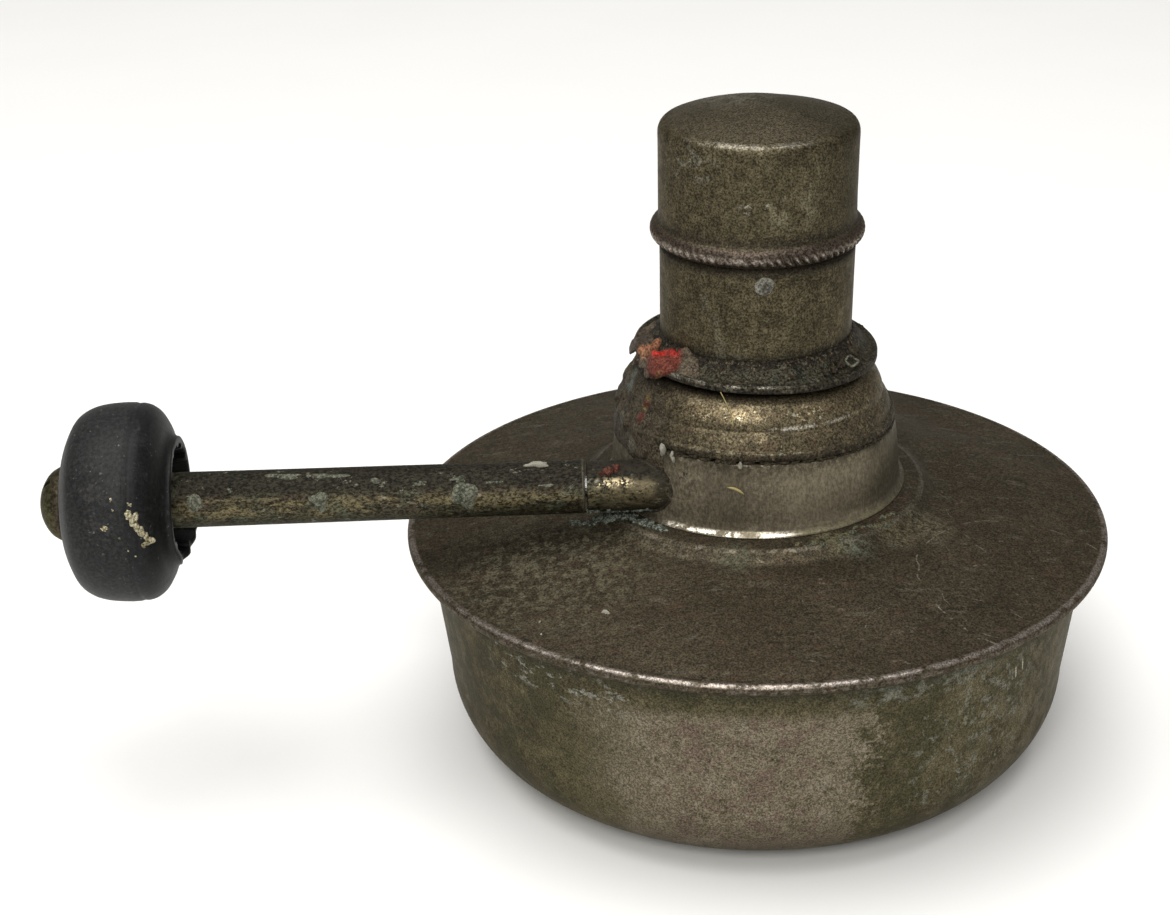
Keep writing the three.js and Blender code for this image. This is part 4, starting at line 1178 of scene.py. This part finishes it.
# ---- Wax, paint, verdigris and crumbs ----
def coating(low_degrees, high_degrees, low_z, high_z, thickness, seed):
    """A closed ragged sheet of dirt that clings to the neck's left side."""
    across, up = 56, 44
    outer, inner = [], []
    for v in np.linspace(0, 1, up):
        for u in np.linspace(0, 1, across):
            ragged = 0.09 * float(ripple(5 * v, 3 * u, seed))
            edge = min(u + ragged, 1 - u - 1.6 * ragged, 1.4 * v + ragged, 1.4 * (1 - v) + ragged)
            cover = max(0.0, min(1.0, edge / 0.13))
            lumps = 0.62 + 0.42 * float(ripple(9 * u, 3.2 * v, seed + 1))
            lumps += 0.2 * float(ripple(21 * u, 15 * v, seed + 2))
            out = thickness * max(0.15, lumps) * cover**0.6 - 0.2 * (1 - cover)
            a = math.radians(low_degrees + u * (high_degrees - low_degrees))
            z = low_z + v * (high_z - low_z)
            skin = band_radius(z)
            for side, r in ((outer, skin + out), (inner, skin - 0.35)):
                side.append((r * math.cos(a), r * math.sin(a), z))
    faces = []
    back = len(outer)
    for j in range(up - 1):
        for k in range(j * across, j * across + across - 1):
            faces.append((k, k + 1, k + 1 + across, k + across))
            faces.append((back + k, back + k + across, back + k + 1 + across, back + k + 1))
    for i in range(across - 1):
        top = (up - 1) * across + i
        faces.append((i, back + i, back + i + 1, i + 1))
        faces.append((top, top + 1, back + top + 1, back + top))
    for left in range(0, (up - 1) * across, across):
        right = left + across - 1
        faces.append((left, left + across, back + left + across, back + left))
        faces.append((right, back + right, back + right + across, right + across))
    return outer + inner, faces


DISC_SKIN = ((14.6, 67.5), (16.4, 65.7), (17.45, 65.2), (18.1, 65.5))
# Height of the wax's foot where it hangs over the disc's lip.
WAX_FOOT = (*DISC_SKIN, (18.6, 65.1), (19.6, 63.7))
BOSS_SKIN = ((22.9, 43.3), (24.6, 43.15), (25.4, 42.9), (26.4, 42.15), (27.5, 41.4))


def disc_height(radius):
    return profile(radius, DISC_SKIN)


def wax_height(radius):
    return profile(radius, WAX_FOOT)


def boss_height(radius):
    return profile(radius, BOSS_SKIN)


def foot_height(radius):
    """Height of the boss, and of the plate outside it."""
    return boss_height(radius) if radius < 27.5 else plate_height(radius)


def old_wax():
    """A split red lobe and an orange one, with brown flaps round them, on the drip disc."""
    rows = (
        (-147.5, 17.0, 6.6, 4.7, 2.1, 0.13), (-134.5, 16.1, 5.6, 3.6, 1.0, 0.16),
        (-164, 17.0, 3.1, 4.4, 2.0, 0.15), (-177, 17.2, 6.0, 3.8, 1.2, 0.1),
        (-191, 16.6, 5.2, 3.2, 0.9, 0.15), (-154, 18.5, 4.6, 1.9, 0.7, 0.3),
        (-139, 14.9, 2.2, 1.0, 1.3, 0.3),
    )
    return mounds(201, 2, [(on_plate(degrees, r, wax_height), *rest) for degrees, r, *rest in rows])


def wax_look():
    spots = (
        ((-18.6, 0.5, 66.2), 3.6, (0.045, 0.034, 0.023)),
        ((-14.6, -10.0, 66.8), 3.0, (0.13, 0.03, 0.02)),
        ((-16.4, -5.0, 67.4), 1.9, (0.23, 0.095, 0.05)),
        ((-17.2, -6.4, 66.4), 0.9, (0.3, 0.15, 0.08)),
        ((-14.8, -8.9, 68.0), 1.3, (0.46, 0.022, 0.016)),
        ((-12.9, -9.2, 67.6), 0.9, (0.3, 0.02, 0.016)),
        ((-12.2, -8.2, 68.4), 0.8, (0.17, 0.03, 0.022)),
        ((-15.6, -12.2, 65.0), 1.0, (0.17, 0.115, 0.05)),
    )
    return crust("old_wax", (0.085, 0.067, 0.045), (0.034, 0.022, 0.017), 0.1, 0.5, 0.8, 0.9, spots)


def grime_run():
    """Dark wax and dirt that has run down the left side of the neck to the socket."""
    rows = (
        (-150, 60.0, 1.6, 2.6, 0.5), (-156, 58.2, 1.6, 2.2, 0.5), (-147, 57.0, 1.6, 2.0, 0.4),
        (-160, 55.6, 2.2, 3.4, 0.6), (-170, 59.2, 2.0, 4.2, 0.8), (-176, 57.0, 2.4, 3.6, 0.7),
        (-143, 60.9, 2.4, 1.4, 0.25), (-139, 58.6, 2.2, 1.6, 0.2), (-152, 53.4, 2.0, 2.4, 0.35),
    )
    lumps = mounds(231, 1, [(on_turned(degrees, z, band_radius), *rest, 0.16) for degrees, z, *rest in rows])
    thick, thin = coating(-186, -141, 50.6, 62.4, 0.5, 221), coating(-160, -134, 51.0, 58.4, 0.22, 223)
    return merged([thick, thin, lumps])


def grime_look():
    spots = (
        ((-16.9, -10.0, 59.6), 0.6, (0.11, 0.035, 0.022)),
        ((-17.6, -9.9, 57.4), 0.8, (0.085, 0.022, 0.017)),
        ((-16.8, -9.9, 60.9), 0.45, (0.15, 0.11, 0.04)),
        ((-17.2, -9.6, 58.9), 0.4, (0.16, 0.12, 0.05)),
        ((-16.0, -11.4, 60.2), 1.0, (0.085, 0.07, 0.046)),
        ((-19.2, -4.4, 60.4), 1.0, (0.075, 0.088, 0.07)),
        ((-18.6, -2.6, 61.8), 0.9, (0.085, 0.098, 0.08)),
        ((-20.2, -5.6, 55.4), 1.0, (0.08, 0.078, 0.058)),
        ((-19.0, -9.6, 53.0), 1.2, (0.085, 0.076, 0.055)),
    )
    return crust("neck_grime", (0.052, 0.042, 0.027), (0.026, 0.02, 0.013), 0.1, 0.6, 0.8, 1.0, spots)


def handle_paint():
    rows = (
        (-44.0, 166, 4.2, 4.4, 0.5, 0.2), (-65.2, 172, 3.0, 3.4, 0.35, 0.3),
        (-83.5, 178, 4.4, 3.4, 0.14, 0.45), (-44.8, 130, 2.4, 1.2, 0.25, 0.35),
        (-64.0, 112, 4.4, 1.2, 0.16, 0.4), (-70.5, 108, 5.8, 1.3, 0.14, 0.4),
        (-57.0, 128, 1.6, 1.1, 0.25, 0.35), (-78.3, 140, 0.9, 0.8, 0.2, 0.35),
        (-39.6, 140, 3.4, 0.5, 0.12, 0.4), (-50.5, 138, 2.2, 0.9, 0.16, 0.45),
        (-32.0, 150, 2.6, 0.5, 0.12, 0.45),
    )
    return mounds(241, 1, [(on_shaft(x, degrees, HANDLE_R), *rest) for x, degrees, *rest in rows])


def white_flecks():
    """Small off-white drops of paint on the neck, socket and plate."""
    return mounds(261, 2, (
        (on_shaft(-33.2, 96, HANDLE_R), 3.4, 1.3, 0.7, 0.25),
        (on_shaft(-24.6, 146, SOCKET_R), 0.9, 0.8, 0.5, 0.3),
        (on_shaft(-23.4, 150, SOCKET_R), 0.5, 0.6, 0.3, 0.3),
        (on_turned(-134.5, 54.6, band_radius), 1.1, 2.3, 0.75, 0.25),
        (on_turned(-129.6, 54.0, band_radius), 0.8, 1.3, 0.4, 0.35),
        (on_turned(-100.9, 54.2, band_radius), 0.8, 1.2, 0.35, 0.3),
        (on_turned(-78, 60.9, band_radius), 0.6, 0.5, 0.25, 0.4),
        (on_turned(-66, 60.0, band_radius), 0.5, 0.5, 0.2, 0.3),
        (on_plate(-124.5, 42.5, plate_height), 1.1, 0.9, 0.45, 0.3),
        (on_plate(-133.5, 48.5, plate_height), 0.4, 0.4, 0.25, 0.3),
        (on_plate(-131.0, 50.6, plate_height), 0.5, 0.3, 0.25, 0.3),
    ))


def rust_lumps():
    rows = ((-22.9, 120, 1.6, 1.8, 0.7), (-21.7, 112, 1.2, 1.6, 0.6), (-23.9, 127, 0.8, 0.9, 0.4))
    return mounds(283, 2, [(on_shaft(x, degrees, SOCKET_R), *rest, 0.3) for x, degrees, *rest in rows])


def verdigris():
    """Pale green crust in the crevice between the socket and the boss below it."""
    rng = np.random.default_rng(291)
    tall = (0.15, 0.4)
    parts = []
    for x in np.arange(-28.5, -15.0, 0.5):
        at = on_shaft(x + rng.uniform(-0.3, 0.3), 243 + rng.uniform(-12, 12), SOCKET_R - 0.05)
        parts.append(crumb(rng, at, (0.7, 1.6), (0.8, 1.7), tall, 0.3))
    crevice = ((-28.5, -11.0), (-24, -11.8), (-20, -13.4), (-17.5, -16.0), (-15, -18.4))
    for x in np.arange(-28.5, -14.5, 0.25):
        y = profile(x, crevice) + rng.uniform(-0.8, 0.8)
        at = on_plate(math.degrees(math.atan2(y, x)), math.hypot(x, y), foot_height)
        parts.append(crumb(rng, at, (0.6, 1.5), (0.6, 1.3), tall, 0.3))
    return merged(parts)


def neck_residue():
    """Yellowish crust at the foot of the neck on its right."""
    rng = np.random.default_rng(301)
    parts = []
    for degrees in np.arange(-80, -36, 2.6):
        at = on_plate(degrees, 24.4 + rng.uniform(-0.9, 1.4), boss_height)
        parts.append(crumb(rng, at, (0.8, 2.2), (0.5, 1.1), (0.08, 0.2), 0.4))
    return merged(parts)


def groove_dirt():
    """Dirt packed in the groove between the neck band and the burner collar."""
    rng = np.random.default_rng(311)
    parts = []
    for degrees in np.arange(-180, 180, 3.0):
        z = 54.55 + rng.uniform(-0.15, 0.15) - float(neck_drop(20.85, 54.5, math.radians(degrees)))
        at = on_turned(degrees + rng.uniform(-2, 2), z, lambda z: 20.9)
        parts.append(crumb(rng, at, (1.3, 2.4), (0.5, 0.8), (0.15, 0.36), 0.35))
    return merged(parts)


def disc_crumbs():
    """Loose dark crumbs on the drip disc."""
    rng = np.random.default_rng(321)
    parts = []
    for degrees in (-44, -47, -52, -31, -58, -27, -102, -76, -114, 10, 60, 120):
        at = on_plate(degrees, rng.uniform(15.0, 16.8), disc_height)
        size = rng.uniform(0.4, 1.3)
        parts.append(mound(at, size, size, 0.5 * size, int(rng.integers(1e6)), 0.35))
    return merged(parts)


def at_bearing(radius, degrees, z):
    a = math.radians(degrees)
    return radius * math.cos(a), radius * math.sin(a), z


def debris_ring():
    """A pale shrivelled ring that lies on the disc's right."""
    ring = []
    for k in range(15):
        a = 2 * math.pi * k / 14
        r = 16.9 + 0.8 * math.cos(a)
        degrees = math.degrees(1.25 * math.sin(a) / 17.0) - 39
        ring.append(at_bearing(r, degrees, disc_height(r) + 0.3 + 0.12 * math.sin(3 * a)))
    return strand(ring, [0.2] * len(ring), 6)


def fibres():
    """A hair hanging from under the disc and a yellow splinter on the neck band."""
    hair = []
    for t in np.linspace(0, 1, 14):
        z = 64.3 - 4.6 * t
        r = max(band_radius(z) + 0.15, 18.3 + 1.3 * t)
        hair.append(at_bearing(r, -111 + 6.5 * math.sin(1.5 * t), z))
    splinter = []
    for t in np.linspace(0, 1, 9):
        z = 50.9 - 0.9 * t + 0.25 * math.sin(math.pi * t)
        splinter.append(at_bearing(band_radius(z) + 0.12, -105.6 + 6.5 * t, z))
    thick = [0.05, 0.14, 0.2, 0.22, 0.22, 0.22, 0.2, 0.14, 0.05]
    return merged([strand(hair, [0.08] * len(hair), 6), strand(splinter, thick, 8)])


def tube_drop():
    return mound(on_turned(-90.5, 79.2, lambda z: TUBE_R - 0.05), 3.2, 3.3, 0.22, 331, 0.1)


def knob_flecks():
    """Cream and gold flecks stuck to the knob's near side."""
    skin = (
        (-102, 10.0), (-99, 13.6), (-96, 14.5), (-92.3, 14.7), (-91.6, 14.5), (-90.5, 14.5),
        (-88.8, 13.4), (-87.5, 11.2),
    )
    rows = (
        (-90.4, 167, 1.6, 2.6, 0.4), (-89.8, 173, 1.8, 1.6, 0.55), (-91.1, 163, 1.2, 1.8, 0.35),
        (-89.1, 179, 2.2, 2.0, 0.5), (-89.6, 182, 1.5, 1.2, 0.5), (-94.6, 170, 1.3, 1.1, 0.35),
        (-93.3, 160, 0.4, 0.5, 0.2), (-90.9, 157, 0.7, 0.6, 0.3), (-93.5, 154, 0.5, 0.7, 0.2),
        (-92.6, 176, 0.4, 0.5, 0.2), (-91.6, 184, 0.5, 0.6, 0.2), (-90.7, 188, 0.4, 0.6, 0.2),
    )
    flecks = [(on_shaft(x, degrees, profile(x, skin) - 0.05), *rest, 0.35) for x, degrees, *rest in rows]
    return mounds(341, 1, flecks)


# ---- Camera, floor and light ----
def set_camera():
    """The view of the photograph: a little above the rim, square to the handle."""
    right = Vector((0.999517, -0.02009, -0.023699))
    up = Vector((0.02994, 0.419188, 0.907405))
    forward = Vector((0.008295, 0.907677, -0.419588))
    turn = Matrix((right, up, -forward)).transposed()
    data = bpy.data.cameras.new("camera")
    data.lens = 68.39
    data.sensor_width = 36.0
    data.clip_start, data.clip_end = 0.01, 50.0
    camera = bpy.data.objects.new("camera", data)
    camera.matrix_world = Matrix.Translation(Vector((-28.92, -310.08, 190.04)) * MM) @ turn.to_4x4()
    bpy.context.scene.collection.objects.link(camera)
    bpy.context.scene.camera = camera


def set_floor():
    half, level = 4000, -0.05
    corners = [(-half, -half, level), (half, -half, level), (half, half, level), (-half, half, level)]
    floor = add_mesh("floor", (corners, [(0, 1, 2, 3)]))
    look = Look("pale_floor", (0.86, 0.86, 0.85), 0.9, 0.0, 0.05)
    look.coat((0.83, 0.83, 0.82), share=0.3, noise=(60, 0.35, 0.7, 0.0, 2, 0.5))
    floor.data.materials.append(look.done())


def add_softbox(name, place, size, power, tone):
    """A square light that faces the middle of the lamp."""
    data = bpy.data.lights.new(name, "AREA")
    data.shape = "RECTANGLE"
    data.size = data.size_y = size
    data.energy = power
    data.color = tone
    light = bpy.data.objects.new(name, data)
    light.location = place
    light.rotation_mode = "QUATERNION"
    light.rotation_quaternion = (Vector((0, 0, 0.05)) - Vector(place)).to_track_quat("-Z", "Y")
    bpy.context.scene.collection.objects.link(light)


def set_world():
    """A grey surround, palest at the horizon and dim overhead."""
    world = bpy.data.worlds.new("studio")
    bpy.context.scene.world = world
    world.use_nodes = True
    tree = world.node_tree
    tree.nodes.clear()
    kinds = ("TexCoord", "SeparateXYZ", "MapRange", "Background", "OutputWorld")
    place, parts, ramp, background, out = [tree.nodes.new("ShaderNode" + kind) for kind in kinds]
    ramp.interpolation_type = "SMOOTHSTEP"
    for name, value in (("From Min", 0.02), ("From Max", 0.35), ("To Min", 0.5), ("To Max", 0.38)):
        ramp.inputs[name].default_value = value
    background.inputs["Color"].default_value = (1.0, 0.99, 0.97, 1.0)
    tree.links.new(place.outputs["Generated"], parts.inputs[0])
    tree.links.new(parts.outputs[2], ramp.inputs["Value"])
    tree.links.new(ramp.outputs["Result"], background.inputs["Strength"])
    tree.links.new(background.outputs[0], out.inputs["Surface"])


set_camera()
set_world()
add_softbox("overhead", (-0.15, -0.12, 1.2), 1.1, 15.5, (1, 0.99, 0.97))
add_softbox("key", (-0.14, -0.75, 0.62), 0.35, 4.0, (1, 0.98, 0.95))
set_floor()

# ---- Pieces that stand for CAD nodes ----
add_piece("pan", reservoir_pan(), pan_look(), LAMP, "reservoir_pan")
add_piece("top_plate", reservoir_top(), plate_look(), LAMP, "reservoir_top")
band = add_piece("band", neck_band(), band_look(), LAMP, "neck_band")
bore = SOCKET_R - 0.2
cut_away(band, [onto_shaft(turned([(0, -30.0), (bore, -30.0), (bore, -3.0), (0, -3.0)], 64))])
add_piece("collar", burner_collar(), collar_look(), LAMP, "burner_collar")
add_piece("disc", drip_disc(), disc_look(), LAMP, "drip_disc")
tube_stains_and_light = burner_look("stained_tube_painted_light", 500, tube_marks_and_painted_light)
add_piece("burner", burner_tube(), tube_stains_and_light, LAMP, "burner_tube")
stained_cap_painted_light = burner_look("stained_cap_painted_light", 600, cap_marks_and_painted_light)
add_piece("cap_shell", snuffer_cap(), stained_cap_painted_light, CAP, "snuffer_cap")
add_piece("handle", handle_tube(), tube_handle_look(), LAMP, "handle_tube")
add_piece("socket", handle_socket(), socket_look(), LAMP, "handle_socket")
fibre = plain_look("red_fibre", (0.06, 0.022, 0.019), 0.8)
add_piece("washer", fibre_washer(), fibre, LAMP, "fibre_washer")
add_piece("knob_body", knob(), knob_look(), WINDER, "knob")
nut = add_piece("nut", knob_nut(), nut_look(), WINDER, "knob_nut")
cut_away(nut, nut_notches())
yarn = plain_look("cotton_yarn", (0.55, 0.47, 0.34), 0.95, 0.0, 0.8, 0.35, 0.8)
add_piece("yarns", wick_shape(), yarn, WICK_UNIT, "wick")

# ---- Dirt, paint and crumbs ----
solder = crust("dark_solder", (0.026, 0.021, 0.014), (0.07, 0.062, 0.045), 0.07, 0.6, 0.7)
old_paint = crust("old_paint", (0.105, 0.108, 0.08), (0.05, 0.056, 0.038), 0.09, 0.7, 0.9)
white_paint = plain_look("white_paint", (0.23, 0.218, 0.172), 0.7, 0.0, 0.5, 0.5, 0.6)
rust = crust("rust", (0.095, 0.034, 0.023), (0.04, 0.02, 0.014), 0.1, 0.75, 0.6)
green_crust = crust("verdigris", (0.13, 0.145, 0.12), (0.055, 0.06, 0.046), 0.12, 0.85, 0.5)
yellow_crust = crust("yellow_crust", (0.085, 0.078, 0.045), (0.07, 0.078, 0.057), 0.12, 0.8, 0.6)
dirt = crust("packed_dirt", (0.034, 0.027, 0.018), (0.08, 0.07, 0.045), 0.06, 0.85, 0.6)
shrivelled = crust("shrivelled_ring", (0.13, 0.13, 0.095), (0.06, 0.055, 0.04), 0.1, 0.7, 0.6)
straw = plain_look("straw", (0.27, 0.22, 0.085), 0.6, 0.0, 0.5, 0.3)
drop_centre = (((0.3, -14.3, 79.0), 0.6, (0.05, 0.047, 0.038)),)
grey_drop = crust("grey_drop", (0.165, 0.16, 0.135), (0.1, 0.095, 0.078), 0.1, 0.6, 0.8, 0.6, drop_centre)
cream = crust("cream_flecks", (0.33, 0.3, 0.2), (0.12, 0.1, 0.05), 0.1, 0.6, 0.6)
for shape, material, body in (
    (saddle_fillet, solder, LAMP),
    (old_wax, wax_look(), LAMP),
    (grime_run, grime_look(), LAMP),
    (handle_paint, old_paint, LAMP),
    (white_flecks, white_paint, LAMP),
    (rust_lumps, rust, LAMP),
    (verdigris, green_crust, LAMP),
    (neck_residue, yellow_crust, LAMP),
    (groove_dirt, dirt, LAMP),
    (disc_crumbs, dirt, LAMP),
    (debris_ring, shrivelled, LAMP),
    (fibres, straw, LAMP),
    (tube_drop, grey_drop, LAMP),
    (knob_flecks, cream, WINDER),
):
    add_piece(shape.__name__, shape(), material, body)

# ---- CAD nodes that stay, inside the lamp ----
inner_brass = aged_metal("inner_brass", (0.42, 0.3, 0.135), 0.38, "rings", 0.3, 1000, 0.35).done()
steel = plain_look("drawn_steel", (0.4, 0.39, 0.37), 0.38, 0.95, 1.0, 0.3, 0.2, (0.1, 1, 1))
packing = plain_look("packing_cotton", (0.4, 0.33, 0.22), 0.95, 0.0, 0.7, 0.4, 0.8)
BRASS_NODES = (
    "shaft_bush_outer", "shaft_bush_inner", "shaft_shoulder", "thrust_collar", "shaft_end_collar", "pinion",
    "wick_guide_plate", "winder_frame", "frame_rivet_1", "frame_rivet_2", "wick_carrier", "rack",
    "carrier_rivet_1", "carrier_rivet_2",
)
INNER_FINISH = {"shaft_packing": packing, "winder_shaft": steel, **dict.fromkeys(BRASS_NODES, inner_brass)}
for node_name, finish in INNER_FINISH.items():
    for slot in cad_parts[node_name].material_slots:
        slot.material = finish

bpy.context.scene.view_settings.view_transform = "Standard"
